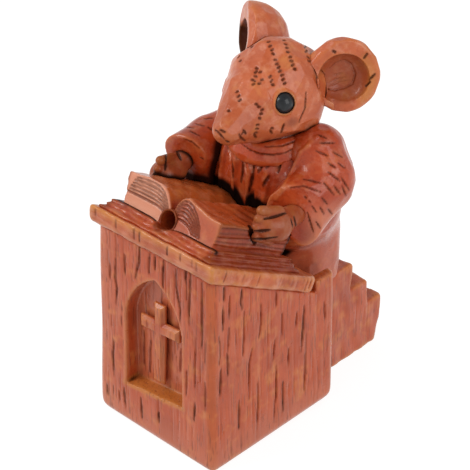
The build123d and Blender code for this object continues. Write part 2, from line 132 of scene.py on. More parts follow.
class Clay:
    """A block of voxels round one casting: a distance field in mm, and the tints on it, which are stain in
    its cuts and also painted light and shade.
    """

    def __init__(self, low, high, voxel, margin=1.6):
        self.voxel = np.array(voxel, dtype=np.float32) * np.ones(3, dtype=np.float32)
        self.low = np.array(low, dtype=np.float32) - margin
        self.size = np.ceil((np.array(high) + margin - self.low) / self.voxel).astype(int) + 1
        steps = [np.arange(count, dtype=np.float32) for count in self.size]
        self.axes = [self.low[i] + self.voxel[i] * steps[i] for i in range(3)]
        self.solid = None
        self.wash_and_shade = np.zeros(self.size, dtype=np.float32)
        self.pale = np.zeros(self.size, dtype=np.float32)
        self.ochre = np.zeros(self.size, dtype=np.float32)
        self.deep = np.zeros(self.size, dtype=np.float32)

    def grid(self, part=None):
        """The x, y and z of a part of the block, shaped to spread over it."""
        part = part or (slice(None),) * 3
        x, y, z = (self.axes[i][part[i]] for i in range(3))
        return x[:, None, None], y[None, :, None], z[None, None, :]

    def part(self, low, high):
        """The slices that cover a box, or None where the box misses the block."""
        first = np.clip(np.floor((low - self.low) / self.voxel).astype(int), 0, self.size)
        last = np.clip(np.ceil((high - self.low) / self.voxel).astype(int) + 1, 0, self.size)
        return tuple(slice(a, b) for a, b in zip(first, last)) if np.all(last > first) else None

    def sample(self, field, points):
        """A field's values at points in mm, blended between voxels."""
        place = np.clip((points - self.low) / self.voxel, 0, self.size - 1.001)
        base = place.astype(int)
        rest = (place - base).astype(np.float32)
        total = np.zeros(len(points), dtype=np.float32)
        for corner in range(8):
            step = np.array([corner & 1, corner >> 1 & 1, corner >> 2 & 1])
            weight = np.prod(np.where(step, rest, 1 - rest), axis=1)
            total += weight * field[tuple((base + step).T)]
        return total

    def hit(self, pixels):
        """The points of the surface that pixels of the photo show, for those that show it."""
        found = []
        for across, down in pixels:
            ray = view_right * (across - image_side / 2) - view_up * (down - image_side / 2)
            ray = ray / focal_pixels - view_back
            ray = ray / np.linalg.norm(ray)
            middle = (self.low + self.size * self.voxel / 2 - view_place) @ ray
            reach = np.linalg.norm(self.size * self.voxel) / 2
            along = np.arange(middle - reach, middle + reach, 0.12)
            points = view_place + along[:, None] * ray
            high = self.low + (self.size - 1) * self.voxel
            points = points[np.all((points >= self.low) & (points <= high), axis=1)]
            solid = self.sample(self.solid, points) < 0 if len(points) else np.zeros(0, dtype=bool)
            if solid.any():
                found.append(points[np.argmax(solid)])
        return found

    def cut(self, points, radius, stain=1.0, spread=1.25, tint=None):
        """Cuts a round groove along points and tints it: with the near-black wash, which some callers use as
        painted shade, or with another tint.
        """
        tint = self.wash_and_shade if tint is None else tint
        points = [np.asarray(point, dtype=np.float32) for point in points]
        for start, end in zip(points[:-1], points[1:]):
            reach = radius * spread + self.voxel.max() * 1.5
            part = self.part(np.minimum(start, end) - reach, np.maximum(start, end) + reach)
            if part is None:
                continue
            x, y, z = self.grid(part)
            run = end - start
            share = (x - start[0]) * run[0] + (y - start[1]) * run[1] + (z - start[2]) * run[2]
            share = np.clip(share / max(float(run @ run), 1e-6), 0, 1)
            away = np.sqrt(
                (x - start[0] - run[0] * share) ** 2
                + (y - start[1] - run[1] * share) ** 2
                + (z - start[2] - run[2] * share) ** 2
            )
            self.solid[part] = np.maximum(self.solid[part], radius - away)
            if stain > 0:
                soft = np.clip((radius * spread - away) / (radius * 0.5) + 0.5, 0, 1) * stain
                tint[part] = np.maximum(tint[part], soft)

    def stroke(self, pixels, radius, stain=1.0, step=2.0, tint=None):
        """Cuts a groove where the photo shows one, given by pixels along it."""
        route = []
        for (x0, y0), (x1, y1) in zip(pixels[:-1], pixels[1:]):
            count = max(int(math.hypot(x1 - x0, y1 - y0) / step), 1)
            route += [(x0 + (x1 - x0) * i / count, y0 + (y1 - y0) * i / count) for i in range(count)]
        points = self.hit(route + [pixels[-1]])
        for i in range(len(points) - 1):
            swell = math.sin(math.pi * (i + 0.5) / (len(points) - 1))
            self.cut(points[i : i + 2], radius * (0.55 + 0.45 * swell), stain, tint=tint)

    def ridge(self, pixels, radius):
        """Lays a low rounded ridge along pixels of the photo."""
        points = self.hit(pixels)
        for start, end in zip(points[:-1], points[1:]):
            part = self.part(np.minimum(start, end) - 3 * radius, np.maximum(start, end) + 3 * radius)
            rod = round_cone(*self.grid(part), start, end, radius, radius)
            self.solid[part] = soft_min(self.solid[part], rod, radius)

    def facets(self, count, spacing, radius, depth, seed):
        """Pares shallow facets off the bulging parts of the surface, as a wide gouge leaves them."""
        skin = np.argwhere(np.abs(self.solid) < self.voxel.min() * 0.6)
        kept = []
        for pick in np.random.default_rng(seed).permutation(len(skin)):
            i, j, k = skin[pick]
            point = self.low + skin[pick] * self.voxel
            if np.any(skin[pick] < 2) or np.any(skin[pick] > self.size - 3):
                continue
            if any(np.sum((point - other) ** 2) < spacing**2 for other in kept):
                continue
            slope = np.array(
                [
                    self.solid[i + 1, j, k] - self.solid[i - 1, j, k],
                    self.solid[i, j + 1, k] - self.solid[i, j - 1, k],
                    self.solid[i, j, k + 1] - self.solid[i, j, k - 1],
                ]
            ) / self.voxel
            normal = slope / max(np.linalg.norm(slope), 1e-6)
            side = np.cross(normal, (0.3, 0.5, 0.8))
            side = side / np.linalg.norm(side)
            reach = math.sqrt(2 * radius * depth) + 0.6
            turns = np.arange(8)[:, None] * math.pi / 4
            ring = point + reach * (np.cos(turns) * side + np.sin(turns) * np.cross(normal, side))
            if self.sample(self.solid, ring).min() < 0.0:
                continue
            kept.append(point)
            centre = point + normal * (radius - depth)
            part = self.part(point - reach, point + reach)
            x, y, z = self.grid(part)
            away = np.sqrt((x - centre[0]) ** 2 + (y - centre[1]) ** 2 + (z - centre[2]) ** 2)
            self.solid[part] = np.maximum(self.solid[part], radius - away)
            if len(kept) == count:
                break

    def cast(self, name):
        """The block's surface as a smooth mesh in metres, with its tints, stain and painted light and shade,
        as attributes.
        """
        grid = openvdb.FloatGrid(1.0)
        grid.copyFromArray(np.ascontiguousarray(self.solid, dtype=np.float32))
        points, triangles, quads = grid.convertToPolygons(0.0, 0.0)
        points = self.low + points * self.voxel
        faces = quads.astype(int)
        a, b, c, d = (points[faces[:, i]] for i in range(4))
        volume = np.sum(np.cross(b - a, c - a) * a) + np.sum(np.cross(c - a, d - a) * a)
        if volume < 0:
            faces = faces[:, ::-1]
        mesh = bpy.data.meshes.new(name)
        mesh.from_pydata((points * MM).tolist(), [], faces.tolist() + triangles.astype(int).tolist())
        mesh.polygons.foreach_set("use_smooth", [True] * len(mesh.polygons))
        tints = {"wash_and_shade": self.wash_and_shade, "pale": self.pale, "ochre": self.ochre, "deep": self.deep}
        for tint, field in tints.items():
            layer = mesh.attributes.new(tint, "FLOAT", "POINT")
            layer.data.foreach_set("value", self.sample(field, points))
        piece = bpy.data.objects.new(name, mesh)
        bpy.context.scene.collection.objects.link(piece)
        return piece


def rounded_box(x, y, z, low, high, edge):
    """Distance to a box with rounded edges."""
    gaps = [np.abs(v - (a + b) / 2) - ((b - a) / 2 - edge) for v, a, b in zip((x, y, z), low, high)]
    outside = np.sqrt(sum(np.maximum(gap, 0) ** 2 for gap in gaps))
    inside = np.minimum(np.maximum(np.maximum(gaps[0], gaps[1]), gaps[2]), 0)
    return outside + inside - edge


def soft_max(a, b, radius):
    """The overlap of two forms, with the edge between them rounded off."""
    blend = np.maximum(radius - np.abs(a - b), 0)
    return np.maximum(a, b) + blend * blend / (4 * radius)


def flat(x, y, z, start, end):
    """Distance past a flat that the photo shows edge-on, on the right of the way between two pixels."""
    rays = [
        view_right * (across - image_side / 2) - view_up * (down - image_side / 2) - view_back * focal_pixels
        for across, down in (start, end)
    ]
    normal = np.cross(*rays)
    normal = normal / np.linalg.norm(normal)
    return (x - view_place[0]) * normal[0] + (y - view_place[1]) * normal[1] + (z - view_place[2]) * normal[2]


def desk_axes(y, z):
    """Distance down the desk's slope and height above its top."""
    down = (y - desk_front) * math.cos(desk_pitch) - (z - desk_front_height) * math.sin(desk_pitch)
    above = (y - desk_front) * math.sin(desk_pitch) + (z - desk_front_height) * math.cos(desk_pitch)
    return down, above


def niche_form(x, y, z):
    half = niche_width / 2
    arch = (half**2 + niche_rise**2) / (2 * half)
    rise = np.maximum(z - niche_spring, 0)
    across = np.abs(x - niche_shift - niche_lean * rise)
    curve = np.sqrt((across + arch - half) ** 2 + rise**2) - arch
    sill = niche_sill + niche_sill_tilt * (x - niche_shift) + niche_sill_slope * (y - pulpit_front) - z
    return np.maximum(np.maximum(curve, sill), y - pulpit_front - niche_depth)


def pulpit_taper(height):
    """The scale that takes a point at a height back to the plain block."""
    return 1 / (1 + pulpit_swell + pulpit_draft * np.clip(1 - height / draft_height, 0, 1))


def pulpit_form(x, y, z):
    swell = pulpit_taper(z)
    wave = 0.08 * np.sin(x * 0.55 + 0.9) * np.sin(z * 0.17) + 0.06 * np.sin(y * 0.5) * np.sin(z * 0.13 + 1.0)
    across, deep = x * swell, np.where(y < 0, y * swell, y)
    block = rounded_box(across, deep, z, pulpit_low - (0, 0, 3), pulpit_high + (0, 0, 30), pulpit_edge) - wave
    corner = np.abs(across) - pulpit_half_width + np.abs(deep) - pulpit_back - z
    corner = corner / math.sqrt(3) + foot_corner_cut + foot_side_cut * (x < 0) + foot_back_cut * (y > 0)
    block = soft_max(block, corner, 2.0)
    block = np.maximum(block, -z)
    for start, end in foot_lines:
        block = soft_max(block, flat(x, y, z, start, end), 0.8)
    down, above = desk_axes(y, z)
    desk_end = desk_front + desk_length * math.cos(desk_pitch)
    top = np.minimum(above + desk_sink + desk_thickness, np.maximum(desk_end - y, z - rim_height))
    block = soft_max(block, top, 0.8)
    pocket = np.maximum(np.abs(x) - pulpit_half_width + rim_wall, pulpit_back - pocket_depth - y)
    pocket = np.maximum(pocket, pocket_floor - z)
    block = soft_max(block, -pocket, 0.6)
    return soft_max(block, -niche_form(x, y, z), 0.5)


def grain(clay, draw, low, high, start, end, place, pitch=2.0, depth=0.19):
    """Cuts upright grain marks across a face; place turns an offset and a height into a point."""
    for offset in np.arange(low, high, pitch):
        height = start + draw.uniform(0.0, 5.0)
        while height < end - 2.0:
            length = min(draw.uniform(2.5, 22.0), end - height)
            side = offset + draw.uniform(-0.7, 0.7)
            sway = draw.uniform(-0.22, 0.22, 4)
            marks = [place(side + sway[i], height + length * i / 3) for i in range(4)]
            dark = draw.uniform(0.08, 0.45) * (0.5 + 0.5 * min(height / 45.0, 1.0))
            clay.cut(marks, depth * draw.uniform(0.45, 1.1), dark if draw.uniform() < 0.92 else 0.9, 1.0)
            height += length + draw.uniform(1.0, 8.0)


pulpit_clay = Clay(pulpit_low, pulpit_high, (0.32, 0.32, 0.5))
pulpit_clay.solid = pulpit_form(*pulpit_clay.grid())
pulpit_draw = np.random.default_rng(11)


def on_front(across, height):
    """A point of the pulpit's front, or of the niche's back where the niche is."""
    if niche_form(across, pulpit_front, height) < -0.4:
        return (across, pulpit_front + niche_depth, height)
    return (across, pulpit_front / pulpit_taper(height), height)


for side in (-1, 1):
    grain(
        pulpit_clay,
        pulpit_draw,
        pulpit_front + 1.5,
        pulpit_back - 1.0,
        2.0,
        58.0,
        lambda across, height: (side * pulpit_half_width / pulpit_taper(height), across, height),
    )
grain(pulpit_clay, pulpit_draw, -19.5, 20.0, 1.5, 61.0, on_front, 1.7)
front_cracks = (
    ((116, 259), (115, 278), (117, 288), (116, 304)),
    ((150, 254), (149, 263), (149, 273)),
    ((155, 256), (155, 270)),
    ((164, 259), (163, 273), (163, 288)),
    ((191, 266), (190, 286), (189, 307), (189, 325)),
    ((202, 284), (202, 300), (202, 327), (202, 348)),
    ((176, 269), (176, 286), (180, 309), (180, 323)),
    ((114, 340), (113, 355), (114, 376)),
    ((195, 403), (194, 420)),
    ((141, 397), (142, 418)),
    ((124, 254), (125, 274)),
    ((140, 246), (139, 263), (135, 278)),
    ((186, 271), (186, 280)),
    ((124, 388), (125, 404)),
    ((107, 385), (108, 394)),
    ((159, 412), (159, 422)),
    ((130, 381), (136, 377)),
)
side_cracks = (
    ((224, 287), (224, 302)),
    ((223, 307), (223, 330)),
    ((242, 289), (241, 303), (242, 309)),
    ((227, 353), (228, 365), (228, 376)),
    ((221, 369), (220, 396)),
    ((304, 306), (303, 330), (301, 351)),
    ((283, 382), (283, 411)),
    ((239, 401), (239, 429)),
)
red_veins = (
    ((230, 296), (229, 319)),
    ((244, 311), (244, 330), (243, 356)),
    ((229, 328), (228, 351)),
    ((261, 304), (261, 323), (259, 338)),
    ((276, 292), (276, 307)),
    ((275, 340), (274, 351), (273, 360)),
    ((282, 313), (282, 335)),
    ((297, 312), (296, 326)),
    ((252, 349), (249, 365), (249, 399)),
    ((258, 382), (258, 403), (257, 429)),
    ((276, 365), (276, 388), (274, 422)),
    ((289, 348), (288, 365)),
    ((324, 302), (325, 319)),
    ((305, 353), (304, 391)),
    ((196, 338), (195, 366), (195, 389)),
    ((187, 370), (186, 395)),
    ((205, 383), (205, 412)),
    ((144, 330), (144, 364)),
    ((151, 340), (150, 372)),
    ((181, 349), (180, 372)),
    ((110, 263), (110, 279)),
    ((119, 390), (120, 400)),
)
for crack in front_cracks + side_cracks:
    pulpit_clay.stroke(crack, crack_radius, 0.85)
for vein in red_veins:
    pulpit_clay.stroke(vein, vein_radius, 0.85, tint=pulpit_clay.deep)
grain(
    pulpit_clay,
    pulpit_draw,
    -18.0,
    18.5,
    2.0,
    40.0,
    lambda across, height: (across, pulpit_back, height),
)


def linear(colour):
    """An sRGB hex colour as linear light, for a shader."""
    parts = [int(colour[i : i + 2], 16) / 255 for i in (1, 3, 5)]
    return [p / 12.92 if p <= 0.04045 else ((p + 0.055) / 1.055) ** 2.4 for p in parts] + [1.0]


def add(tree, kind, values=(), links=(), **settings):
    """Adds one node with its settings, its input values and its links."""
    node = tree.nodes.new("ShaderNode" + kind)
    for name, value in settings.items():
        setattr(node, name, value)
    for name, value in dict(values).items():
        node.inputs[name].default_value = value
    for name, source in dict(links).items():
        tree.links.new(source, node.inputs[name])
    return node


def stained_resin(name, stain, deep, amber, grain_stretch=(1.0, 1.0, 1.0), gloss=0.34, cracks=0.0, rub=0.5):
    """Cast polyresin, stained by hand and lacquered.

    The eye sees a warm stain that pools darker and thins to amber, pale rubbed patches, ochre and deep
    red tints, fine lines along the grain, near-black wash in the cuts and an uneven glossy lacquer.
    Painted light is mixed into the colour as well: painted highlights and sheen in the pale tint and
    sometimes the ochre tint, painted shade in the hollow tint and in the near-black tint between parts.
    The real grit is about 0.1 mm, too fine for the render, so it is drawn five times as coarse.
    """
    pool_width = 9.0 * MM
    patch_width = 4.0 * MM
    streak_width = 1.3 * MM
    grit_width = 0.5 * MM
    rub_width = 3.2 * MM
    line_width = 0.8 * MM
    rubbed_and_sheen_colour = "#d28a6c"
    ochre_colour = "#b87432"
    red_colour = "#5c1a08"
    hollow_colour = "#3a130a"
    line_colour = "#5a2412"
    wash_and_shade_colour = "#160b08"
    material = bpy.data.materials.new(name)
    material.use_nodes = True
    tree = material.node_tree
    tree.nodes.clear()
    place = add(tree, "TexCoord").outputs["Object"]
    stretch = add(tree, "Mapping", {"Scale": grain_stretch}, {"Vector": place}).outputs["Vector"]
    pools = add(tree, "TexNoise", {"Scale": 1 / pool_width, "Detail": 3.0}, {"Vector": place})
    patches = add(tree, "TexNoise", {"Scale": 1 / patch_width, "Detail": 2.0}, {"Vector": place})
    streaks = add(tree, "TexNoise", {"Scale": 1 / streak_width, "Detail": 4.0}, {"Vector": stretch})
    grit = add(tree, "TexNoise", {"Scale": 1 / grit_width, "Detail": 2.0}, {"Vector": place})
    pool_share = add(
        tree,
        "MapRange",
        {"From Min": 0.42, "From Max": 0.68, "To Max": 0.75},
        {"Value": pools.outputs["Fac"]},
    )
    amber_share = add(
        tree,
        "MapRange",
        {"From Min": 0.54, "From Max": 0.74, "To Max": 0.6},
        {"Value": patches.outputs["Fac"]},
    )
    streak_share = add(
        tree,
        "MapRange",
        {"From Min": 0.5, "From Max": 0.72, "To Max": 0.5},
        {"Value": streaks.outputs["Fac"]},
    )
    colour = add(
        tree,
        "MixRGB",
        {"Color1": linear(stain), "Color2": linear(deep)},
        {"Fac": pool_share.outputs["Result"]},
    )
    colour = add(
        tree,
        "MixRGB",
        {"Color2": linear(amber)},
        {"Fac": amber_share.outputs["Result"], "Color1": colour.outputs["Color"]},
    )
    colour = add(
        tree,
        "MixRGB",
        {"Color2": linear(deep)},
        {"Fac": streak_share.outputs["Result"], "Color1": colour.outputs["Color"]},
    )
    wear = add(tree, "Attribute", attribute_name="wear").outputs["Fac"]
    colour = add(
        tree, "MixRGB", {"Color2": linear(amber)}, {"Fac": wear, "Color1": colour.outputs["Color"]}
    )
    rubs = add(
        tree, "TexNoise", {"Scale": 1 / rub_width, "Detail": 5.0, "Roughness": 0.65}, {"Vector": stretch}
    )
    rub_share = add(
        tree,
        "MapRange",
        {"From Min": 0.5, "From Max": 0.66, "To Max": rub},
        {"Value": rubs.outputs["Fac"]},
    )
    # Pale: random rubbed patches, and painted highlights and sheen from the pale attribute.
    pale = add(tree, "Attribute", attribute_name="pale").outputs["Fac"]
    pale = add(tree, "Math", (), {0: pale, 1: rub_share.outputs["Result"]}, operation="MAXIMUM")
    colour = add(
        tree,
        "MixRGB",
        {"Color2": linear(rubbed_and_sheen_colour)},
        {"Fac": pale.outputs[0], "Color1": colour.outputs["Color"]},
    )
    ochre = add(tree, "Attribute", attribute_name="ochre").outputs["Fac"]
    colour = add(
        tree,
        "MixRGB",
        {"Color2": linear(ochre_colour)},
        {"Fac": ochre, "Color1": colour.outputs["Color"]},
    )
    red = add(tree, "Attribute", attribute_name="deep").outputs["Fac"]
    colour = add(
        tree, "MixRGB", {"Color2": linear(red_colour)}, {"Fac": red, "Color1": colour.outputs["Color"]}
    )
    # Darker in the hollows and between castings: partly the real wash, partly painted shade like ambient
    # occlusion.
    hollow = add(tree, "Attribute", attribute_name="hollow").outputs["Fac"]
    colour = add(
        tree,
        "MixRGB",
        {"Color2": linear(hollow_colour)},
        {"Fac": hollow, "Color1": colour.outputs["Color"]},
    )
    lines = add(tree, "TexNoise", {"Scale": 1 / line_width, "Detail": 2.0}, {"Vector": stretch})
    line_share = add(
        tree,
        "MapRange",
        {"From Min": 0.6, "From Max": 0.66, "To Max": cracks},
        {"Value": lines.outputs["Fac"]},
    )
    colour = add(
        tree,
        "MixRGB",
        {"Color2": linear(line_colour)},
        {"Fac": line_share.outputs["Result"], "Color1": colour.outputs["Color"]},
    )
    # Near-black: the real wash in the cuts, and painted shade in the gaps between parts.
    wash_and_shade = add(tree, "Attribute", attribute_name="wash_and_shade").outputs["Fac"]
    colour = add(
        tree, "MixRGB", {"Color2": linear(wash_and_shade_colour)}, {"Fac": wash_and_shade, "Color1": colour.outputs["Color"]}
    )
    rough = add(
        tree,
        "MapRange",
        {"From Min": 0.3, "From Max": 0.7, "To Min": gloss - 0.08, "To Max": gloss + 0.12},
        {"Value": patches.outputs["Fac"]},
    )
    ripple = add(
        tree,
        "Bump",
        {"Strength": 0.35, "Distance": 0.3 * MM},
        {"Height": streaks.outputs["Fac"]},
    )
    ripple = add(
        tree,
        "Bump",
        {"Strength": 0.2, "Distance": 0.12 * MM},
        {"Height": grit.outputs["Fac"], "Normal": ripple.outputs["Normal"]},
    )
    dull = add(tree, "Math", (), {0: wash_and_shade, 1: red}, operation="MAXIMUM")
    shine = add(tree, "MapRange", {"To Min": 0.3, "To Max": 0.0}, {"Value": dull.outputs[0]})
    shader = add(
        tree,
        "BsdfPrincipled",
        {"IOR": 1.45, "Coat Roughness": 0.12, "Coat IOR": 1.45},
        {
            "Specular IOR Level": shine.outputs["Result"],
            "Coat Weight": shine.outputs["Result"],
            "Base Color": colour.outputs["Color"],
            "Roughness": rough.outputs["Result"],
            "Normal": ripple.outputs["Normal"],
        },
    )
    add(tree, "OutputMaterial", (), {"Surface": shader.outputs["BSDF"]})
    return material


x, y, z = pulpit_clay.grid()
sill_height = niche_sill + niche_sill_tilt * (x - niche_shift) + niche_sill_slope * (y - pulpit_front)
sill_gap = np.abs(z - sill_height) + np.maximum(niche_form(x, y, z) - 0.6, 0)
pulpit_clay.ochre += np.clip(1.6 - sill_gap, 0, 1) * (y < pulpit_front + niche_depth) * 0.6
# Painted light: the case is paler towards the table, standing in for light bounced up from the white table,
# and paler towards its left end.
pulpit_clay.pale += 0.35 * np.clip(1 - z / 12.0, 0, 1) + 0.3 * np.clip((-13.0 - x) / 6.0, 0, 1)
# Painted light on the niche's back wall, lifting it out of the shade it falls in.
niche_inside = np.clip(0.8 - niche_form(x, y, z), 0, 1)
niche_back = np.clip((y - pulpit_front - niche_depth + 1.0) / 0.6, 0, 1)
pulpit_clay.pale += niche_back * niche_inside * 0.3
pulpit = pulpit_clay.cast("carved_pulpit")
pulpit_resin = stained_resin(
    "cast_resin_wood_stained_pulpit",
    "#b75028",
    "#9e3d1a",
    "#c97a40",
    grain_stretch=(1.6, 1.6, 0.14),
    cracks=0.45,
    rub=0.3,
)
pulpit.data.materials.append(pulpit_resin)
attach(pulpit, "root")
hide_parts("pulpit_case")
castings = [(pulpit, pulpit_form)]

# Niche cross: a plain cross in low relief, one small casting glued to the niche's back above its sill.
# Its edges were bevelled with a knife, and it carries the same upright grain as the block.
cross_low, cross_high = (np.array(corner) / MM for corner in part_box("niche_cross"))
cross_bar = 4.0
cross_shift = -0.3
cross_foot = 17.2
cross_top = 42.4
cross_lean = 0.045
cross_arm_height = 34.9
cross_arm_reach = 7.4
cross_arm_tilt = 0.07
cross_proud = 0.55
cross_bevel = 0.7


def cross_form(x, y, z):
    out = x - cross_shift
    post_out = np.abs(out + cross_lean * np.maximum(cross_arm_height - z, 0)) - cross_bar / 2
    post = np.maximum(post_out, np.abs(z - (cross_foot + cross_top) / 2) - (cross_top - cross_foot) / 2)
    arm_up = np.abs(z - cross_arm_height - cross_arm_tilt * out) - cross_bar / 2
    outline = np.minimum(post, np.maximum(np.abs(out) - cross_arm_reach, arm_up))
    face = np.maximum(cross_low[1] - cross_proud - y, y - cross_high[1])
    return np.maximum(soft_max(outline, face, 0.3), (outline + face) * 0.7 + cross_bevel)


cross_clay = Clay(cross_low, cross_high, 0.22)
cross_clay.solid = cross_form(*cross_clay.grid())
grain(
    cross_clay,
    np.random.default_rng(5),
    cross_low[0],
    cross_high[0],
    cross_low[2],
    cross_high[2],
    lambda across, height: (across, cross_low[1] - cross_proud, height),
    1.3,
    0.22,
)
cross = cross_clay.cast("carved_cross")
cross.data.materials.append(pulpit_resin)
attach(cross, "root")
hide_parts("niche_cross")
castings.append((cross, cross_form))

# Steps: a block of three steps glued to the back of the pulpit, with soft worn edges and upright grain.
# The mouse stands on the top step, which runs level with the pocket's floor.
stair_low, stair_high = (np.array(corner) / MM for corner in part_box("stair_block"))
stair_half_width = stair_high[0]
stair_edge = 1.3
stair_swell = 0.7
stair_taper = 0.06
stair_overrun = 4.0
heel_radius = 3.0
stair_end = stair_high[1] + 1.8
step_ends = ((42.3, 31.5), (49.9, 22.6), (stair_end + 1.2, 14.6))


def stair_form(x, y, z):
    form = None
    for end, height in step_ends:
        low = (-stair_half_width - stair_swell, pulpit_back - stair_overrun, -stair_overrun)
        step = rounded_box(x, y, z, low, (stair_half_width + stair_swell, end, height), stair_edge)
        form = step if form is None else np.minimum(form, step)
    heel = np.sqrt(
        np.maximum(np.abs(x) - stair_half_width + heel_radius, 0) ** 2
        + np.maximum(y - stair_end + 1.8, 0) ** 2
    )
    form = np.maximum(form, heel - heel_radius)
    form = soft_max(form, (y - stair_end + 2.4 - 0.45 * z) * 0.9, 1.5)
    form = soft_max(form, np.abs(x) - stair_half_width + stair_taper * (y - pulpit_back) - stair_swell, 1.0)
    form = form - 0.2 * np.sin(x * 0.7 + y * 0.6) * np.sin(z * 0.4 + y * 0.5)
    return np.maximum(np.maximum(form, -z), pulpit_back - y)


stair_clay = Clay(stair_low, stair_high, (0.32, 0.32, 0.45))
stair_clay.solid = stair_form(*stair_clay.grid())
stair_draw = np.random.default_rng(23)


def on_stair_side(side, along, height):
    """A point of the steps' left or right face."""
    return (side * (stair_half_width + stair_swell - stair_taper * (along - pulpit_back)), along, height)


for side in (-1, 1):
    grain(
        stair_clay,
        stair_draw,
        pulpit_back + 0.8,
        stair_high[1] - 2.0,
        1.5,
        30.0,
        lambda across, height: on_stair_side(side, across, height),
        2.0,
    )
for end, height in step_ends:
    grain(
        stair_clay,
        stair_draw,
        -stair_half_width + 1.5,
        stair_half_width - 1.0,
        height - 8.0,
        height - 1.0,
        lambda across, up: (across, end, up),
        2.2,
    )
stairs = stair_clay.cast("carved_steps")
stairs.data.materials.append(pulpit_resin)
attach(stairs, "root")
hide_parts("stair_block")
castings.append((stairs, stair_form))

# Desk board: a thick sloping board glued on two pegs, its edge nicked all round like rough-sawn wood.
# Its top is left smooth, with the nicks only round its edges.
desk_half_width = 22.9
desk_front_corner = 1.4
desk_back_corner = 3.0
nick_radius = 0.2


def desk_form(x, y, z):
    down, above = desk_axes(y, z)
    corner = np.where(down < desk_length / 2, desk_front_corner, desk_back_corner)
    plan_x = np.maximum(np.abs(x) - desk_half_width + corner, 0)
    plan_y = np.maximum(np.abs(down - desk_length / 2) - desk_length / 2 + corner, 0)
    plan = np.sqrt(plan_x**2 + plan_y**2) - corner
    slab = np.maximum(above + desk_sink, -above - desk_sink - desk_thickness)
    wave = 0.2 * np.sin(x * 0.45 + down * 0.3) + 0.12 * np.sin(x * 1.3 + down * 0.9)
    board = soft_max(plan + wave * 0.6, slab + wave * 0.3, 1.4)
    return soft_max(board, desk_front - y + wave * 0.4, 1.0)


def on_desk(across, down, above):
    """A point given across the desk, down its slope and above its top."""
    return np.array(
        [
            across,
            desk_front + down * math.cos(desk_pitch) + above * math.sin(desk_pitch),
            desk_front_height - down * math.sin(desk_pitch) + above * math.cos(desk_pitch),
        ]
    )


desk_low, desk_high = (np.array(corner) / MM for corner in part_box("desk_board"))
desk_clay = Clay(desk_low, desk_high, 0.3)
desk_clay.solid = desk_form(*desk_clay.grid())
desk_draw = np.random.default_rng(31)
for across in np.arange(-20.5, 21.0, 1.7):
    side = across + desk_draw.uniform(-0.6, 0.6)
    for face in ("front", "back"):
        heights = (desk_draw.uniform(-1.8, -0.8), desk_draw.uniform(-4.8, -3.0))
        if face == "front":
            nick = [(side, desk_front, desk_front_height + height) for height in heights]
        else:
            nick = [on_desk(side, desk_length, height) for height in heights]
        if desk_draw.uniform() < 0.6:
            desk_clay.cut(nick, nick_radius, desk_draw.uniform(0.3, 1))
for down in np.arange(1.5, desk_length - 1.5, 1.9):
    place = down + desk_draw.uniform(-0.7, 0.7)
    for side in (-1, 1):
        bottom = desk_draw.uniform(-4.4, -2.6)
        top = desk_draw.uniform(-1.6, -0.4)
        if desk_draw.uniform() < 0.45:
            edge = side * desk_half_width
            nick = [on_desk(edge, place, height) for height in (top, bottom)]
            desk_clay.cut(nick, nick_radius, desk_draw.uniform(0.2, 0.7))
down, above = desk_axes(*desk_clay.grid()[1:])
desk_clay.ochre += np.clip((1.2 - down) / 0.8, 0, 1) * 0.25
desk = desk_clay.cast("carved_desk")
desk_resin = stained_resin("cast_resin_wood_stained_desk", "#ba5a2c", "#963a18", "#cb8440", (0.3, 1.2, 1.2))
desk.data.materials.append(desk_resin)
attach(desk, "root")
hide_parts("desk_board")
castings.append((desk, desk_form))

# Book cover: a thick open cover lying on the desk, cast with a hollow spine between the two halves.
# Its edges spread to the desk in a few wavy layers that dip at the spine.
cover_half_width = 18.2
cover_start = 5.2
cover_end = 36.6
cover_thickness = 2.6
cover_spread = 1.1
page_foot = 5.6
spine_height = 3.7
spine_radius = 3.0
bore_radius = 2.5
bore_depth = 7.0


def cover_form(x, y, z):
    down, above = desk_axes(y, z)
    dip = np.exp(-((x / 3.4) ** 2))
    fall = np.clip(cover_thickness - above, 0, cover_thickness)
    wave = 0.25 * np.sin(x * 0.8 + above * 2.0) + 0.2 * np.sin(down * 0.7 + above * 2.4)
    layer = 0.3 * np.sin(fall * 5.2 + 0.8 * np.sin(x * 0.35) + 1.2 * dip)
    slab = np.maximum(above - cover_thickness + dip * 1.1, -above - desk_sink - 0.2)
    sides = np.abs(x) - cover_half_width - cover_spread * 0.7 * fall
    ends = np.abs(down - (cover_start + cover_end) / 2) - (cover_end - cover_start) / 2 - cover_spread * fall
    board = soft_max(slab, (np.maximum(sides, ends) - layer - wave * 0.6) * 0.75, 0.5)
    spine = np.sqrt(x**2 + (above - spine_height) ** 2)
    spine = np.where(above < spine_height, np.minimum(np.abs(x), spine), spine) - spine_radius
    spine = np.maximum(spine, np.abs(down - (cover_start + cover_end) / 2) - 15.0)
    spine = np.maximum(spine, -above)
    bore = np.sqrt(x**2 + (above - spine_height) ** 2) - bore_radius
    bore = np.maximum(bore, down - cover_start - bore_depth)
    return np.maximum(np.minimum(board, spine), -bore)


cover_low, cover_high = (np.array(corner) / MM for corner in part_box("book_cover"))
cover_clay = Clay(cover_low - (2.0, 3.6, 2.0), cover_high + (2.0, 2.0, 3.0), 0.27)
cover_clay.solid = cover_form(*cover_clay.grid())
# Painted shade: the bore through the spine is darkened inside.
bore_route = [on_desk(0.0, down, spine_height) for down in (cover_start, cover_start + bore_depth)]
cover_clay.cut(bore_route, bore_radius * 0.8, 0.3)
x, y, z = cover_clay.grid()
down, above = desk_axes(y, z)
bore_gap = np.abs(np.sqrt(x**2 + (above - spine_height) ** 2) - bore_radius - 0.3)
cover_clay.deep += np.clip(1.4 - bore_gap / 0.5, 0, 1) * (down < cover_start + 1.5) * 0.7
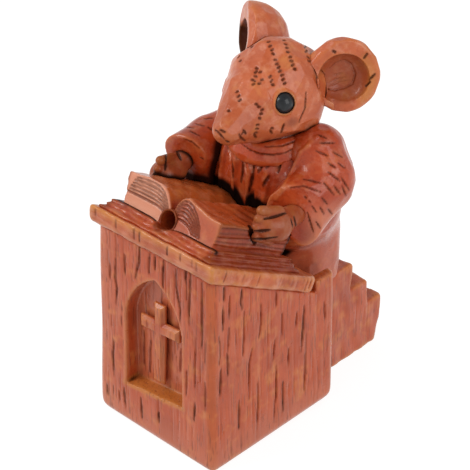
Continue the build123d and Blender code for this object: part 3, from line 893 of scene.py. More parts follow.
# Painted shade: a near-black line in the crease where the page fronts stand on the cover.
seam_shade = np.clip(1.4 - np.abs(down - page_foot) / 0.8, 0, 1) * np.clip((above - 1.2) / 0.6, 0, 1)
cover_clay.wash_and_shade = np.maximum(cover_clay.wash_and_shade, seam_shade * (np.abs(x) > spine_radius) * 0.95)
cover_clay.deep += np.clip((np.abs(x) - cover_half_width + 0.9) / 0.8, 0, 1) * 0.5
cover = cover_clay.cast("carved_book_cover")
book_resin = stained_resin(
    "cast_resin_red_stained_book", "#aa421a", "#8e2e0f", "#bb6834", gloss=0.32, rub=0.3
)
cover.data.materials.append(book_resin)
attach(cover, "root")
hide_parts("book_cover")
castings.append((cover, cover_form))

# Page blocks: two thick halves of pages glued on the cover, which meet over the hollow spine.
# The page ends are scored as fans of arcs from the gutter, and the fore edges as lines along the block.
page_start = 6.0
page_end = 35.8
page_edge = 17.3
page_slant = 0.9
page_lift = 2.2
page_profiles = {
    "left": ((0.2, 0.7, 1.5, 2.6, 4.5, 7.8, 12.0, 17.4), (4.0, 4.9, 6.7, 8.2, 9.2, 8.5, 7.5, 7.0)),
    "right": ((0.2, 1.5, 2.8, 4.3, 6.2, 10.9, 14.0, 17.4), (4.0, 5.8, 7.4, 8.7, 9.3, 9.4, 9.0, 8.5)),
}
page_arcs = {
    "left": (
        *((0.9, 4.4), (1.8, 6.5), (3.2, 8.0), (4.8, 8.4)),
        *((6.8, 7.7), (8.8, 5.9), (10.4, 3.5), (11.3, 0.9)),
    ),
    "right": (
        *((1.5, 4.4), (2.4, 6.0), (3.8, 7.6), (5.8, 8.5)),
        *((8.0, 8.7), (10.0, 8.6), (12.5, 8.3), (14.2, 7.9)),
    ),
}
paw_shadow = ((250, 226), (252, 234), (255, 243))
page_signs = {"left": 1, "right": -1}
# Painted sheen on the page ends that face the front, strongest on the right block.
page_front_sheens = {"left": 0.22, "right": 1.0}
# Painted light on the tops of the page blocks.
page_top_lights = {"left": 0.08, "right": 0.24}


def page_form(x, y, z, name):
    down, above = desk_axes(y, z)
    out = x * page_signs[name]
    up = above - page_lift
    top = (up - np.interp(out, *page_profiles[name])) * np.where(out < 3.5, 0.6, 0.95)
    top = top + 0.1 * np.sin(down * 0.35 + out * 0.5) + 0.08 * np.sin(down * 1.1 - out * 0.8)
    edge = out - page_edge + page_slant * np.clip(1 - up / 7.0, -0.3, 1) + 0.12 * np.sin(up * 2.6)
    ends = np.abs(down - (page_start + page_end) / 2) - (page_end - page_start) / 2 + 0.25 * np.sin(up * 0.6)
    body = soft_max(soft_max(top, edge, 0.7), ends, 0.4)
    body = np.maximum(np.maximum(body, -up - 0.3), 0.05 - out)
    return np.maximum(body, spine_radius - 0.1 - np.sqrt(x**2 + (above - spine_height) ** 2))


for name, side in page_signs.items():
    node = name + "_page_block"
    low, high = (np.array(corner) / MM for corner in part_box(node))
    clay = Clay(low - (3.4, 1.0, 0.5), high + (3.4, 1.0, 2.0), 0.27, 1.0)
    clay.solid = page_form(*clay.grid(), name)
    for page in range(6):
        for end, bow in ((page_start, 0.25), (page_end, -0.25)):
            route = []
            for out, up in page_arcs[name]:
                if name == "left":
                    out, up = 0.5 + (out - 0.5) * (1 - 0.05 * page), 1.2 + (up - 1.2) * (1 - 0.15 * page)
                else:
                    out, up = 1.0 + (out - 1.0) * (1 + 0.03 * page), 2.0 + (up - 2.0) * (1 - 0.15 * page)
                route.append(on_desk(side * out, end + bow * math.sin(up * 0.6), up + page_lift))
            clay.cut(route, 0.27 + 0.06 * (page % 2), 1.0, 1.0)
    for line in range(5):
        up = 1.0 + 1.25 * line
        out = page_edge - page_slant * (1 - up / 7.0)
        route = [
            on_desk(side * out, down, page_lift + up + 0.2 * math.sin(down * 0.3 + line))
            for down in np.arange(page_start + 0.5, page_end, 1.5)
        ]
        clay.cut(route, 0.2, 0.6)
    if side > 0:
        clay.stroke(paw_shadow, 0.8, 1.0)
    x, y, z = clay.grid()
    down, above = desk_axes(y, z)
    # Painted sheen: the page ends facing the front are lightened toward a pinkish cream.
    clay.pale += np.clip((page_start + 0.7 - down) / 0.4, 0, 1) * page_front_sheens[name]
    # Painted light: the tops of the page blocks are lifted toward ochre, as light falling on them.
    page_top = np.clip((down - page_start - 0.6) / 0.4, 0, 1) * np.clip((above - 8.0) / 0.8, 0, 1)
    clay.ochre += page_top * page_top_lights[name]
    # Painted shade: the far ends of the pages, which face the robe, go near-black.
    clay.wash_and_shade = np.maximum(clay.wash_and_shade, np.clip((down - page_end + 1.6) / 1.2, 0, 1) * 0.95)
    clay.deep += np.clip((side * x - page_edge + 1.0) / 0.6, 0, 1) * 0.5
    pages = clay.cast("carved_" + node)
    pages.data.materials.append(book_resin)
    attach(pages, "root")
    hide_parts(node)
    castings.append((pages, lambda x, y, z, name=name: page_form(x, y, z, name)))

# Robe: the mouse's body in a long plain gown, one casting on a peg in the top step.
# The chest was gouged into deep folds that hold black wash, and the skirt was left nearly plain.
robe_rings = np.array(
    [
        (31.4, 29.4, 12.8, 12.0),
        (36.0, 29.4, 13.2, 12.6),
        (46.0, 28.9, 13.4, 13.3),
        (58.0, 26.2, 14.2, 13.4),
        (66.0, 23.8, 14.6, 12.8),
        (72.0, 22.6, 14.4, 12.2),
        (77.0, 22.0, 11.6, 10.6),
        (80.5, 21.8, 8.6, 8.2),
    ]
)


def soft_min(a, b, radius):
    """The union of two forms, with the valley between them filled to a fillet."""
    blend = np.maximum(radius - np.abs(a - b), 0)
    return np.minimum(a, b) - blend * blend / (4 * radius)


def round_cone(x, y, z, start, end, start_radius, end_radius):
    """Distance to a rod from one point to another that tapers between two radii."""
    run = np.subtract(end, start)
    share = ((x - start[0]) * run[0] + (y - start[1]) * run[1] + (z - start[2]) * run[2]) / (run @ run)
    share = np.clip(share, 0, 1)
    away = np.sqrt(
        (x - start[0] - run[0] * share) ** 2
        + (y - start[1] - run[1] * share) ** 2
        + (z - start[2] - run[2] * share) ** 2
    )
    return away - start_radius - (end_radius - start_radius) * share


def robe_form(x, y, z):
    centre, half_width, half_depth = (np.interp(z, robe_rings[:, 0], robe_rings[:, i]) for i in (1, 2, 3))
    turn = np.arctan2(x / half_width, (y - centre) / half_depth)
    pleat = 0.22 * np.sin(turn * 9 + 0.6) * np.clip((60 - z) / 25, 0, 1)
    ring = np.sqrt((x / half_width) ** 2 + ((y - centre) / half_depth) ** 2)
    body = (ring - 1) * np.minimum(half_width, half_depth) + pleat
    body = np.maximum(np.maximum(body, robe_rings[0, 0] - z), z - robe_rings[-1, 0])
    plump = (np.abs(x + 0.6) / 18.4) ** 3 + (np.abs(y - 22.8) / 12.9) ** 3 + (np.abs(z - 61.0) / 15.5) ** 3
    belly = (plump ** (1 / 3) - 1) * 12.9
    fold = np.sin(x * 1.15 + 0.05 * z) + 0.6 * np.sin(x * 2.3 - 0.09 * z + 1.0)
    front = np.clip((19.0 - y) / 4.0, 0, 1) * np.clip((z - 54.0) / 6.0, 0, 1)
    return soft_min(body, belly, 3.0) + 0.32 * fold * front


def book_and_desk(x, y, z):
    pages = np.minimum(page_form(x, y, z, "left"), page_form(x, y, z, "right"))
    return np.minimum(np.minimum(desk_form(x, y, z), cover_form(x, y, z)), pages)


robe_low, robe_high = (np.array(corner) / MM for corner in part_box("robe"))
robe_clay = Clay(robe_low, robe_high, 0.3, 2.4)
robe_clay.solid = np.maximum(robe_form(*robe_clay.grid()), 0.1 - book_and_desk(*robe_clay.grid()))
robe_clay.facets(90, 5.0, 14.0, 0.22, 41)
chest_folds = (
    ((242, 158), (243, 170), (241, 182)),
    ((254, 166), (252, 180), (249, 193)),
    ((269, 176), (263, 186)),
    ((281, 162), (278, 172)),
    ((232, 160), (233, 178)),
    ((258, 172), (262, 166)),
    ((266, 168), (274, 160)),
)
for fold in chest_folds:
    robe_clay.stroke(fold, 0.4, 0.9)
# Painted shade: the robe goes near-black where it comes within a few millimetres of the book and desk.
book_gap = book_and_desk(*robe_clay.grid())
robe_clay.wash_and_shade = np.maximum(robe_clay.wash_and_shade, np.clip(3.4 - book_gap, 0, 1))
# Painted highlights: pale streaks in shallow grooves across the chest.
chest_lights = (
    ((228, 146), (230, 152), (230, 160)),
    ((242, 146), (252, 152), (258, 156)),
    ((244, 162), (246, 172)),
    ((250, 162), (252, 172)),
    ((257, 160), (259, 168)),
    ((236, 150), (238, 158)),
)
for light in chest_lights:
    robe_clay.stroke(light, 0.4, 0.8, tint=robe_clay.pale)
# Painted reflection: the skirt is paler low down.
robe_clay.pale += 0.22 * np.clip((50.0 - robe_clay.grid()[2]) / 8.0, 0, 1)
robe = robe_clay.cast("carved_robe")
robe_resin = stained_resin(
    "cast_resin_red_stained_robe", "#b0431c", "#8e2b0e", "#bd6434", gloss=0.3, rub=0.25
)
robe.data.materials.append(robe_resin)
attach(robe, "root")
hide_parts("robe")
castings.append((robe, robe_form))

# Head: skull and snout in one casting on a neck peg, pared into flat facets like whittled wood.
# Rows of small punched marks run down from the crown, filled with black wash.
head_centre = np.array([0.0, 20.5, 92.0])
head_turn = math.radians(8.0)
head_nod = math.radians(7.0)
head_tilt = math.radians(2.8)
skull_place = (0.0, 0.5, 0.2)
skull_radius = 12.9
nose_place = (0.0, -21.0, -2.2)
nose_radius = 2.9
nape_rod = ((0, 2, -1.0), (0, 4, -1), 12.2, 11.5)
cheek_rod = ((6.0, -4.5, -4.0), (4.0, -9.0, -4.2), 6.6, 5.0)
jowl_rod = ((6.8, 2.0, -3.5), (6.6, 1.0, -6.4), 7.0, 6.6)
bridge_rod = ((0, -10.0, -0.8), (0, -19.4, -2.4), 8.5, 4.5)
jaw_rod = ((0, -17.0, -5.4), (0, -3.0, -7.8), 3.0, 7.9)
crown_lines = (((309, 46.5), (290, 36.5)), ((290, 36.5), (266, 36.0)), ((266, 36.0), (231, 58.5)))
eye_places = {"left": np.array([8.7, -7.5, 1.0]), "right": np.array([-10.8, -3.0, -2.6])}
eye_radius = 2.9
turn_axes = np.array(
    [
        [math.cos(head_turn), -math.sin(head_turn), 0],
        [math.sin(head_turn), math.cos(head_turn), 0],
        [0, 0, 1],
    ]
)
nod_axes = np.array(
    [[1, 0, 0], [0, math.cos(head_nod), -math.sin(head_nod)], [0, math.sin(head_nod), math.cos(head_nod)]]
)
tilt_axes = np.array(
    [[math.cos(head_tilt), 0, -math.sin(head_tilt)], [0, 1, 0], [math.sin(head_tilt), 0, math.cos(head_tilt)]]
)
head_axes = turn_axes @ nod_axes @ tilt_axes


def in_frame(x, y, z, centre, axes):
    """Coordinates along a tilted frame's own axes."""
    gap = (x - centre[0], y - centre[1], z - centre[2])
    return tuple(gap[0] * axes[0, i] + gap[1] * axes[1, i] + gap[2] * axes[2, i] for i in range(3))


def head_form(x, y, z):
    across, along, up = in_frame(x, y, z, head_centre, head_axes)
    form = round_cone(across, along, up, skull_place, nose_place, skull_radius, nose_radius)
    form = soft_min(form, round_cone(across, along, up, *nape_rod), 3.0)
    side = np.abs(across)
    cheek = round_cone(side, along, up, *cheek_rod)
    form = soft_min(form, cheek, 3.0)
    jowl = round_cone(across, along, up, *jowl_rod)
    form = soft_min(form, jowl, 1.5)
    bridge = round_cone(across, along, up, *bridge_rod)
    form = soft_min(form, bridge, 2.0)
    jaw = round_cone(across, along, up, *jaw_rod)
    form = soft_min(form, jaw, 2.5)
    for start, end in crown_lines:
        form = soft_max(form, flat(x, y, z, start, end), 0.8)
    return form


def in_world(local):
    """A point of the head's own axes in the ornament's axes."""
    return head_centre + head_axes @ np.asarray(local)


head_low, head_high = (np.array(corner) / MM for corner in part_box("head"))
head_clay = Clay(head_low + (0, 0, 4.0), head_high, 0.25, 2.6)
head_clay.solid = head_form(*head_clay.grid())
head_clay.facets(90, 3.8, 60.0, 0.3, 7)
for place in eye_places.values():
    centre = in_world(place)
    x, y, z = head_clay.grid()
    away = np.sqrt((x - centre[0]) ** 2 + (y - centre[1]) ** 2 + (z - centre[2]) ** 2)
    lid = np.abs(away - eye_radius - 0.3) - 0.3
    head_clay.solid = soft_min(head_clay.solid, np.maximum(lid, head_clay.solid - 0.5), 0.5)
    head_clay.solid = np.maximum(head_clay.solid, eye_radius + 0.12 - away)
    rim_wash = np.clip(1 - np.abs(away - eye_radius - 0.1) / 0.45, 0, 1) * 0.9
    head_clay.wash_and_shade = np.maximum(head_clay.wash_and_shade, rim_wash)
stitch_rows = (
    ((239, 57), (242, 67)),
    ((252, 47), (254, 55)),
    ((269, 42), (275, 60), (287, 88)),
    ((284, 40), (290, 57), (297, 75)),
    ((305, 47), (308, 57), (311, 67)),
    ((257, 68), (252, 90)),
    ((260, 72), (262, 80), (257, 88)),
    ((252, 80), (256, 84)),
    ((270, 77), (275, 90)),
    ((237, 92), (241, 105)),
    ((256, 104), (262, 110), (258, 125), (254, 137)),
    ((229, 111), (231, 118)),
    ((272, 128), (280, 130)),
    ((243, 133), (245, 138)),
)
stitch_pitch = 4.2
stitch_draw = np.random.default_rng(3)
for row in stitch_rows:
    for (x0, y0), (x1, y1) in zip(row[:-1], row[1:]):
        length = math.hypot(x1 - x0, y1 - y0)
        for mark in range(max(int(length / stitch_pitch), 1)):
            share = mark * stitch_pitch / length
            across = x0 + (x1 - x0) * share + stitch_draw.uniform(-0.5, 0.5)
            down = y0 + (y1 - y0) * share + stitch_draw.uniform(-0.4, 0.4)
            lean = stitch_draw.uniform(-0.5, 0.9)
            head_clay.stroke(((across - 0.7, down + lean), (across + 0.7, down - lean)), 0.3, 0.9, 1.0)
mouth_marks = (
    ((215, 130), (219, 133), (224, 139)),
    ((220, 130), (225, 132)),
    ((226, 141), (229, 142)),
    ((239, 134), (241, 138), (245, 141)),
    ((243, 130), (246, 134)),
    ((254, 134), (256, 138)),
    ((284, 124), (281, 133)),
    ((270, 130), (272, 134)),
)
for mark in mouth_marks:
    head_clay.stroke(mark, 0.28, 1.0, 1.0)
cheek_groove = ((306, 92), (305, 108), (299, 122))
head_clay.stroke(cheek_groove, 0.24, 0.9)
temple_groove = ((317, 77), (319, 87))
head_clay.stroke(temple_groove, 0.5, 0.7)
along = in_frame(*head_clay.grid(), head_centre, head_axes)[1]
head_clay.deep += 0.14 * np.clip((-12.0 - along) / 4.0, 0, 1)
head = head_clay.cast("carved_head")
fur_resin = stained_resin("cast_resin_orange_stained_fur", "#bf6139", "#a84a26", "#c87a40", gloss=0.36)
head.data.materials.append(fur_resin)
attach(head, "root")
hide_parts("head")
castings.append((head, head_form))

# Eyes: round glass-like beads in the head's sockets, painted charcoal under clear gloss lacquer.
# They give a soft window of light over a faint charcoal mottle.
eye_lacquer = bpy.data.materials.new("charcoal_gloss_lacquer_eye")
eye_lacquer.use_nodes = True
eye_tree = eye_lacquer.node_tree
eye_tree.nodes.clear()
eye_coords = add(eye_tree, "TexCoord").outputs["Object"]
eye_mottle = add(eye_tree, "TexNoise", {"Scale": 1 / (1.2 * MM), "Detail": 2.0}, {"Vector": eye_coords})
eye_colour = add(
    eye_tree,
    "MixRGB",
    {"Color1": linear("#0c0d0f"), "Color2": linear("#23262a")},
    {"Fac": eye_mottle.outputs["Fac"]},
)
eye_shader = add(
    eye_tree,
    "BsdfPrincipled",
    {"Roughness": 0.4, "IOR": 1.5, "Specular IOR Level": 0.18, "Coat Weight": 0.34, "Coat Roughness": 0.1},
    {"Base Color": eye_colour.outputs["Color"]},
)
add(eye_tree, "OutputMaterial", (), {"Surface": eye_shader.outputs["BSDF"]})
for name, place in eye_places.items():
    centre = in_world(place)


    def eye_form(x, y, z, centre=centre):
        away = np.sqrt((x - centre[0]) ** 2 + (y - centre[1]) ** 2 + (z - centre[2]) ** 2)
        return away - eye_radius - 0.04 * np.sin(x * 2.1) * np.sin(z * 1.7)


    clay = Clay(centre - eye_radius, centre + eye_radius, 0.16, 0.6)
    clay.solid = eye_form(*clay.grid())
    eye = clay.cast("bead_" + name + "_eye")
    eye.data.materials.append(eye_lacquer)
    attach(eye, "root")
    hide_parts(name + "_eye")

# Ears: deep round cups with thick rims, each cast with a root and glued to the side of the head.
# The rim is pared in flats and rubbed back to amber, and the bowl is red with a scored whorl.
ear_places = {"left": np.array([16.3, 9.4, 1.8]), "right": np.array([-15.4, 11.4, 3.8])}
ear_turn = math.radians(45.0)
ear_lean = math.radians(12.0)
ear_radius = 9.7
ear_bulges = {"left": 8.0, "right": 10.8}
# Painted shade in the ear bowls: near-black in the far ear, faint in the near one.
ear_bowl_shades = {"left": 0.1, "right": 0.85}
ear_bowl_drops = {"left": 0.6, "right": 2.0}
ear_bowl_radius = 6.9
ear_bowl_depth = 4.6
ear_whorl = (
    *((330, 68), (337, 62), (344, 60), (351, 64), (355, 74)),
    *((352, 84), (344, 88), (335, 90), (326, 89)),
)
ear_scratches = (
    ((330, 82), (336, 79), (346, 77)),
    ((329, 86), (340, 81), (348, 80)),
    ((333, 75), (342, 73)),
)
ear_nicks = (
    ((364, 58), (367, 54)),
    ((369, 80), (375, 74)),
    ((366, 86), (370, 82)),
    ((333, 51), (335, 52)),
)


def ear_axes(side):
    """The ear's own axes in the ornament's: along its rim, up its rim and out of its bowl."""
    face = np.array(
        [
            side * math.cos(ear_turn) * math.cos(ear_lean),
            -math.sin(ear_turn) * math.cos(ear_lean),
            math.sin(ear_lean),
        ]
    )
    along = np.cross((0, 0, 1.0), face)
    along = along / np.linalg.norm(along)
    return head_axes @ np.column_stack((along, np.cross(face, along), face))


for name, side in (("left", 1), ("right", -1)):
    centre = in_world(ear_places[name])
    axes = ear_axes(side)
    root = in_world((side * 9.0, 6.0, 1.5))
    bulge = ear_bulges[name]
    drop = ear_bowl_drops[name]


    def ear_form(x, y, z, centre=centre, axes=axes, root=root, bulge=bulge, drop=drop):
        along, up, out = in_frame(x, y, z, centre, axes)
        cup = (along / ear_radius) ** 2 + (up / (ear_radius * 1.05)) ** 2 + (out / bulge) ** 2
        cup = soft_max((np.sqrt(cup) - 1) * bulge, out - 1.4, 1.6)
        stem = round_cone(x, y, z, centre - axes[:, 2] * 3.5, root, 4.6, 5.5)
        cup = soft_min(cup, stem, 3.0)
        bowl = np.sqrt(
            ((along + 0.3) / ear_bowl_radius) ** 2
            + ((up + drop) / ear_bowl_radius) ** 2
            + ((out - 1.6) / ear_bowl_depth) ** 2
        )
        return np.maximum(cup, (1 - bowl) * ear_bowl_depth)


    reach = ear_radius + 2.6
    clay = Clay(centre - reach, centre + reach, 0.25, 0.5)
    clay.solid = ear_form(*clay.grid())
    clay.facets(70, 3.4, 50.0, 0.26, 17 + side)
    clay.solid = np.maximum(clay.solid, -head_form(*clay.grid()) - 0.05)
    if side > 0:
        clay.stroke(ear_whorl, 0.3, 0.35)
        for scratch in ear_scratches:
            clay.stroke(scratch, 0.22, 0.25)
        for nick in ear_nicks:
            clay.stroke(nick, 0.3, 1.0)
    along, up, out = in_frame(*clay.grid(), centre, axes)
    bowl_away = (along + 0.3) ** 2 + (up + ear_bowl_drops[name]) ** 2 + (out - 1.6) ** 2
    bowl_gap = np.sqrt(bowl_away) - ear_bowl_radius
    inside = np.clip(0.6 - bowl_gap, 0, 1) * (out < 0.9)
    clay.deep += inside * 0.3
    # Painted shade darkens the bowl, strongly in the far ear.
    clay.wash_and_shade = np.maximum(clay.wash_and_shade, inside * ear_bowl_shades[name])
    # Painted shade on the far ear's rim.
    if side < 0:
        far_rim = np.clip((-along - 1.0) / 2.0, 0, 1) * np.clip((1.5 - up) / 2.0, 0, 1)
        far_rim = far_rim * np.clip(out + 2.0, 0, 1)
        clay.wash_and_shade = np.maximum(clay.wash_and_shade, far_rim * 0.85)
    front_rim = np.clip((along - 0.2 * up - 3.5) / 2.0, 0, 1) * np.clip(out + 0.4, 0, 1)
    clay.ochre += front_rim * np.clip(2.2 - bowl_gap, 0, 1) * 0.5
    ear = clay.cast("carved_" + name + "_ear")
    ear.data.materials.append(fur_resin)
    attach(ear, "root")
    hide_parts(name + "_ear")
    castings.append((ear, ear_form))

# Collar: a rolled band of cloth round the neck, cast as a ring and glued over the robe's stub.
# Two folds run round it with black wash in their creases, and the jaw's painted shadow is cut as a dark line
# under the jaw.
collar_centre = np.array([0.0, 21.6, 77.2])


def collar_form(x, y, z):
    lift = 0.10 * (y - collar_centre[1])
    ring = np.sqrt(x**2 + (y - collar_centre[1]) ** 2)
    upper = np.sqrt((ring - 9.6) ** 2 + (z - collar_centre[2] - lift - 1.2) ** 2) - 2.3
    lower = np.sqrt((ring - 10.8) ** 2 + (z - collar_centre[2] - lift + 1.5) ** 2) - 2.0
    return soft_min(upper, lower, 1.6)


collar_low, collar_high = (np.array(corner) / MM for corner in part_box("collar"))
collar_clay = Clay(collar_low - (0, 0, 2.0), collar_high, 0.25, 1.6)
collar_clay.solid = np.maximum(collar_form(*collar_clay.grid()), -robe_form(*collar_clay.grid()))
collar_clay.solid = np.maximum(collar_clay.solid, -head_form(*collar_clay.grid()))
collar_creases_and_jaw_shadow = (
    ((242, 144), (250, 150), (260, 154), (272, 155), (285, 153), (297, 147)),
    ((264, 147), (282, 146), (298, 140), (311, 131), (316, 125)),
)
# The second line is the jaw's painted shadow.
for crease in collar_creases_and_jaw_shadow:
    collar_clay.stroke(crease, 0.2, 0.95)
collar = collar_clay.cast("carved_collar")
collar.data.materials.append(robe_resin)
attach(collar, "root")
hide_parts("collar")
castings.append((collar, collar_form))

# Sleeves: wide hanging sleeves glued on shoulder pegs, each hollow at its cuff and pointed below.
# Short gouge marks follow the cloth's folds, and the lining inside the cuff is dark red.
sleeve_wall = 1.3
cuff_depth = 5.5
# The near-black share in each lining is painted shade, strong in the far sleeve.
sleeve_linings = {"left": {"deep": 0.35, "wash_and_shade": 0.05}, "right": {"deep": 0.7, "wash_and_shade": 0.8}}
sleeve_shapes = {
    "left": {
        "rods": (
            ((13.4, 23.6, 75.4), (16.8, 22.8, 69.6), 7.9, 7.7),
            ((16.8, 22.8, 69.6), (16.6, 6.0, 65.0), 7.7, 5.2),
            ((17.0, 21.4, 67.4), (18.6, 8.0, 61.0), 6.8, 4.6),
            ((17.4, 22.8, 67.0), (20.6, 9.6, 57.8), 6.2, 3.5),
        ),
        "cuff": (19.0, 10.6, 62.0),
        "mouth": (0.50, -0.86, 0.04),
    },
    "right": {
        "rods": (
            ((-13.4, 23.6, 73.2), (-17.6, 15.0, 70.4), 7.2, 6.5),
            ((-17.6, 15.0, 70.4), (-18.0, 4.0, 69.6), 6.5, 6.2),
            ((-17.6, 14.0, 69.0), (-16.6, 12.0, 60.0), 5.6, 4.0),
            ((-17.6, 12.0, 66.0), (-19.2, 9.2, 60.6), 4.5, 3.0),
        ),
        "cuff": (-18.0, 5.6, 69.0),
        "mouth": (0.25, -0.95, -0.18),
    },
}
sleeve_marks = {
    "left": (
        ((316, 151), (328, 156)),
        ((333, 152), (342, 157)),
        ((328, 163), (336, 168)),
        ((338, 163), (345, 168)),
        ((328, 172), (340, 181)),
        ((341, 177), (349, 190)),
        ((324, 183), (334, 195)),
        ((320, 143), (335, 143)),
        ((303, 179), (320, 183)),
        ((290, 188), (304, 186), (320, 192)),
        ((305, 197), (306, 198)),
        ((309, 201), (310, 202)),
        ((320, 207), (324, 214)),
        ((328, 209), (332, 214)),
        ((307, 212), (313, 232)),
        ((316, 222), (320, 228)),
        ((318, 135), (326, 138)),
        ((342, 186), (346, 196)),
        ((334, 186), (340, 194)),
        ((312, 206), (316, 212)),
        ((322, 198), (327, 204)),
    ),
    "right": (
        ((184, 139), (192, 142), (199, 148)),
        ((196, 124), (204, 126)),
        ((190, 131), (200, 136)),
        ((204, 119), (213, 118)),
        ((208, 127), (214, 131)),
        ((201, 158), (203, 159)),
        ((187, 127), (194, 128)),
    ),
}
sleeve_ridge = ((317, 137), (308, 146), (301, 152), (296, 163), (290, 175), (283, 188), (276, 199))
sleeve_forms = {}
for name, shape in sleeve_shapes.items():
    mouth = np.array(shape["mouth"]) / np.linalg.norm(shape["mouth"])


    def sleeve_form(x, y, z, shape=shape, mouth=mouth):
        form = None
        for start, end, start_radius, end_radius in shape["rods"]:
            rod = round_cone(x, y, z, start, end, start_radius, end_radius)
            form = rod if form is None else soft_min(form, rod, 2.5)
        cuff = shape["cuff"]
        ahead = (x - cuff[0]) * mouth[0] + (y - cuff[1]) * mouth[1] + (z - cuff[2]) * mouth[2]
        return soft_max(form, ahead, 0.6), ahead


    node = name + "_sleeve"
    low, high = (np.array(corner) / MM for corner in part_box(node))
    clay = Clay(low, high, 0.27, 2.6)
    whole, ahead = sleeve_form(*clay.grid())
    clay.solid = whole.copy()
    clay.facets(60, 4.4, 40.0, 0.22, 53)
    for neighbour in (robe_form, book_and_desk, head_form):
        clay.solid = np.maximum(clay.solid, 0.05 - neighbour(*clay.grid()))
    for mark in sleeve_marks[name]:
        clay.stroke(mark, 0.23, 0.9)
    if name == "left":
        clay.ridge(sleeve_ridge, 0.5)
    clay.solid = np.maximum(clay.solid, -np.maximum(whole + sleeve_wall, -ahead - cuff_depth))
    x, y, z = clay.grid()
    # Painted reflection: the outer lower part of each sleeve is paler.
    clay.pale += 0.4 * np.clip((x - 19.5) / 3.0, 0, 1) * np.clip((69.0 - z) / 5.0, 0, 1)
    # The lining inside the cuff is dark red; its near-black is painted shade, mostly in the far sleeve.
    lining = np.clip((-whole - 0.5) / 0.5, 0, 1) * np.clip((ahead + 6.0) / 0.5, 0, 1)
    clay.deep += lining * sleeve_linings[name]["deep"]
    clay.wash_and_shade = np.maximum(clay.wash_and_shade, lining * sleeve_linings[name]["wash_and_shade"])
    # Painted shade: the far sleeve goes near-black where it meets the robe and the book.
    if name == "right":
        robe_gap = np.minimum(robe_form(*clay.grid()), book_and_desk(*clay.grid()))
        clay.wash_and_shade = np.maximum(clay.wash_and_shade, np.clip(2.2 - robe_gap / 1.2, 0, 1) * 0.95)
    sleeve = clay.cast("carved_" + node)
    sleeve.data.materials.append(robe_resin)
    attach(sleeve, "root")
    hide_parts(node)
    sleeve_forms[name] = sleeve_form
    castings.append((sleeve, lambda x, y, z, form=sleeve_form: form(x, y, z)[0]))

# Paws: small fists on the fore edges of the book, each cast with a wrist that goes into the sleeve.
# The fingers lie one over the other and point up the slope, with black wash between them.
paw_shapes = {
    "left": {"place": (17.9, 24.4, 11.0), "root": (17.6, 15.0, 64.0), "side": 1, "deep": 0.5},
    "right": {"place": (-18.4, 22.0, 11.4), "root": (-18.0, 10.0, 70.0), "side": -1, "deep": 0.55},
}
paw_creases = {
    "left": (
        ((264, 219), (274, 217), (286, 213)),
        ((253, 231), (262, 231), (270, 230)),
        ((252, 239), (264, 239), (277, 237)),
        ((291, 219), (293, 227)),
        ((294, 217), (296, 226)),
    ),
    "right": (((166, 151), (166, 160), (165, 170)), ((176, 150), (181, 160))),
}
finger_radius = 1.55
finger_pitch = 2.5
finger_length = 5.2
for name, shape in paw_shapes.items():
    side = shape["side"]
    across, down, above = shape["place"]


    def paw_form(x, y, z, side=side, across=across, down=down, above=above, root=shape["root"]):
        palm = on_desk(across + side * 0.6, down + 1.0, above)
        form = round_cone(x, y, z, palm, on_desk(across, down - 1.2, above - 0.6), 4.4, 4.0)
        form = soft_min(form, round_cone(x, y, z, palm, root, 3.6, 2.4), 1.5)
        for finger in range(4):
            up = (1.5 - finger) * finger_pitch
            reach = finger_length - (0.0, 0.2, 0.4, 1.2)[finger]
            knuckle = on_desk(across + side * 0.7, down + 0.4, above + up)
            tip = on_desk(across - side * 0.5, down - reach, above + up * 0.92 - 0.3)
            rod = round_cone(x, y, z, knuckle, tip, finger_radius + 0.15, finger_radius - 0.2)
            form = soft_min(form, rod, 0.35)
        return form


    centre = on_desk(across, down, above)
    node = name + "_paw"
    clay = Clay(centre - (7.5, 8.5, 7.5), centre + (7.5, 14.0, 8.0), 0.2, 0.0)
    clay.solid = paw_form(*clay.grid())
    clay.solid = np.maximum(clay.solid, 0.05 - book_and_desk(*clay.grid()))
    sleeve_whole, ahead = sleeve_forms[name](*clay.grid())
    cloth = np.maximum(sleeve_whole, -np.maximum(sleeve_whole + sleeve_wall, -ahead - cuff_depth))
    clay.solid = np.maximum(clay.solid, 0.05 - cloth)
    clay.solid = np.maximum(clay.solid, -robe_form(*clay.grid()))
    for crease in paw_creases[name]:
        clay.stroke(crease, 0.36, 1.0, 1.0)
    clay.deep += shape["deep"]
    # Painted shade: the right paw goes near-black where it meets its cuff and the book.
    if name == "right":
        seam_shade = np.minimum(cloth, book_and_desk(*clay.grid()))
        clay.wash_and_shade = np.maximum(clay.wash_and_shade, np.clip(1.6 - seam_shade / 0.9, 0, 1) * 0.95)
    paw = clay.cast("carved_" + node)
    paw.data.materials.append(fur_resin)
    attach(paw, "root")
    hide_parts(node)
    castings.append((paw, paw_form))

# Dark wash and painted shade over the glued figure: thin black-brown stain brushed on and wiped off the whole
# ornament.
# The hollows, between the castings too, are darkened, partly as that wash and partly as painted shade; the
# high edges are rubbed back to the paler colour.
figure = Clay(np.array(cad_low) / MM, np.array(cad_high) / MM, 0.6, 4.0)
figure.solid = np.full(figure.size, 4.0, dtype=np.float32)
for piece, form in castings:
    figure.solid = np.minimum(figure.solid, form(*figure.grid()).astype(np.float32))
figure.solid = np.clip(figure.solid, -2.4, 2.4)


def blurred(field, reach):
    """A field averaged over a cube of voxels round each one."""
    for axis in range(3):
        margins = [(reach + 1, reach) if i == axis else (0, 0) for i in range(3)]
        total = np.cumsum(np.pad(field, margins, "edge"), axis)
        size = field.shape[axis]
        ahead = np.take(total, np.arange(2 * reach + 1, 2 * reach + 1 + size), axis)
        behind = np.take(total, np.arange(size), axis)
        field = (ahead - behind) / (2 * reach + 1)
    return field


soft_figure = blurred(blurred(figure.solid, 2), 1)
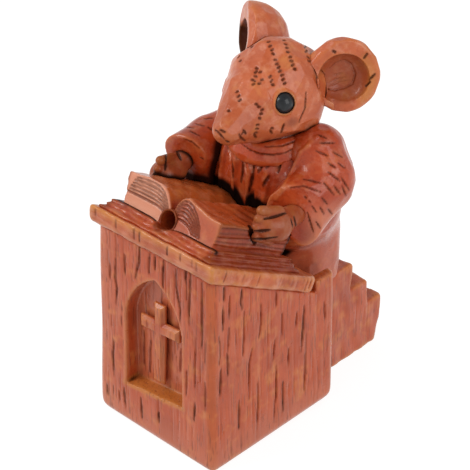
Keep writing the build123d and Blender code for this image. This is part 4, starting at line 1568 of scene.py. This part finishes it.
# How strongly the painted shade in the hollows shows on the pulpit and the cross.
hollow_shade_shares = {"carved_pulpit": 0.4, "carved_cross": 0.2}
for piece, form in castings:
    points = np.empty(len(piece.data.vertices) * 3, dtype=np.float32)
    piece.data.vertices.foreach_get("co", points)
    points = points.reshape(-1, 3) / MM
    shape = figure.sample(soft_figure, points)
    for name, values in (
        ("hollow", np.clip((-shape - 0.35) / 0.8, 0, 1) * hollow_shade_shares.get(piece.name, 1.0)),
        ("wear", np.clip((shape - 0.12) / 0.5, 0, 0.8)),
    ):
        layer = piece.data.attributes.new(name, "FLOAT", "POINT")
        layer.data.foreach_set("value", values.astype(np.float32))

# Table and studio: a pale table that glows to white for the lens, soft white walls and two softboxes.
# The table still takes the ornament's shadow, and the walls are brightest near the horizon.
floor_data = bpy.data.meshes.new("table")
floor_half = 1.5
floor_data.from_pydata(
    [(across * floor_half, along * floor_half, 0) for across, along in ((-1, -1), (1, -1), (1, 1), (-1, 1))],
    [],
    [(0, 1, 2, 3)],
)
floor = bpy.data.objects.new("table", floor_data)
bpy.context.scene.collection.objects.link(floor)
table_paper = bpy.data.materials.new("white_table_paper")
table_paper.use_nodes = True
table_tree = table_paper.node_tree
table_tree.nodes.clear()
table_path = add(table_tree, "LightPath")
table_seen = add(
    table_tree,
    "Math",
    (),
    {0: table_path.outputs["Is Camera Ray"], 1: table_path.outputs["Is Glossy Ray"]},
    operation="MAXIMUM",
)
table_seen = add(
    table_tree,
    "Math",
    (),
    {0: table_seen.outputs[0], 1: table_path.outputs["Is Transmission Ray"]},
    operation="MAXIMUM",
)
table_glow = add(
    table_tree, "MapRange", {"To Min": 0.4, "To Max": 0.86}, {"Value": table_seen.outputs[0]}
)
table_light = add(table_tree, "Emission", (), {"Strength": table_glow.outputs["Result"]})
table_face = add(table_tree, "BsdfDiffuse", {"Color": linear("#8a8a8a")})
table_mix = add(table_tree, "AddShader", (), {0: table_light.outputs[0], 1: table_face.outputs[0]})
add(table_tree, "OutputMaterial", (), {"Surface": table_mix.outputs[0]})
floor_data.materials.append(table_paper)

studio = bpy.data.worlds.new("studio")
studio.use_nodes = True
bpy.context.scene.world = studio
studio_tree = studio.node_tree
studio_tree.nodes.clear()
studio_way = add(studio_tree, "TexCoord").outputs["Generated"]
studio_height = add(studio_tree, "SeparateXYZ", (), {"Vector": studio_way})
studio_level = add(
    studio_tree,
    "MapRange",
    {"From Min": 0.05, "From Max": 0.8, "To Min": 0.95, "To Max": 0.45},
    {"Value": studio_height.outputs["Z"]},
)
studio_light = add(
    studio_tree,
    "Background",
    {"Color": linear("#ffffff")},
    {"Strength": studio_level.outputs["Result"]},
)
add(studio_tree, "OutputWorld", (), {"Surface": studio_light.outputs["Background"]})

softboxes = (
    ("key_softbox", (-0.45, -0.6, 0.74), 0.45, 5.2),
    ("fill_softbox", (0.85, 0.05, 0.5), 0.6, 3.3),
)
lamp_aim = np.array([0.0, 0.0, 0.05])
for name, place, size, power in softboxes:
    lamp_data = bpy.data.lights.new(name, "AREA")
    lamp_data.shape = "SQUARE"
    lamp_data.size = size
    lamp_data.energy = power
    lamp = bpy.data.objects.new(name, lamp_data)
    bpy.context.scene.collection.objects.link(lamp)
    lamp_back = (np.array(place) - lamp_aim) / np.linalg.norm(np.array(place) - lamp_aim)
    lamp_right = np.cross((0, 0, 1.0), lamp_back)
    lamp_right = lamp_right / np.linalg.norm(lamp_right)
    lamp_up = np.cross(lamp_back, lamp_right)
    lamp.matrix_world = Matrix(
        [[lamp_right[i], lamp_up[i], lamp_back[i], place[i]] for i in range(3)] + [[0, 0, 0, 1]]
    )
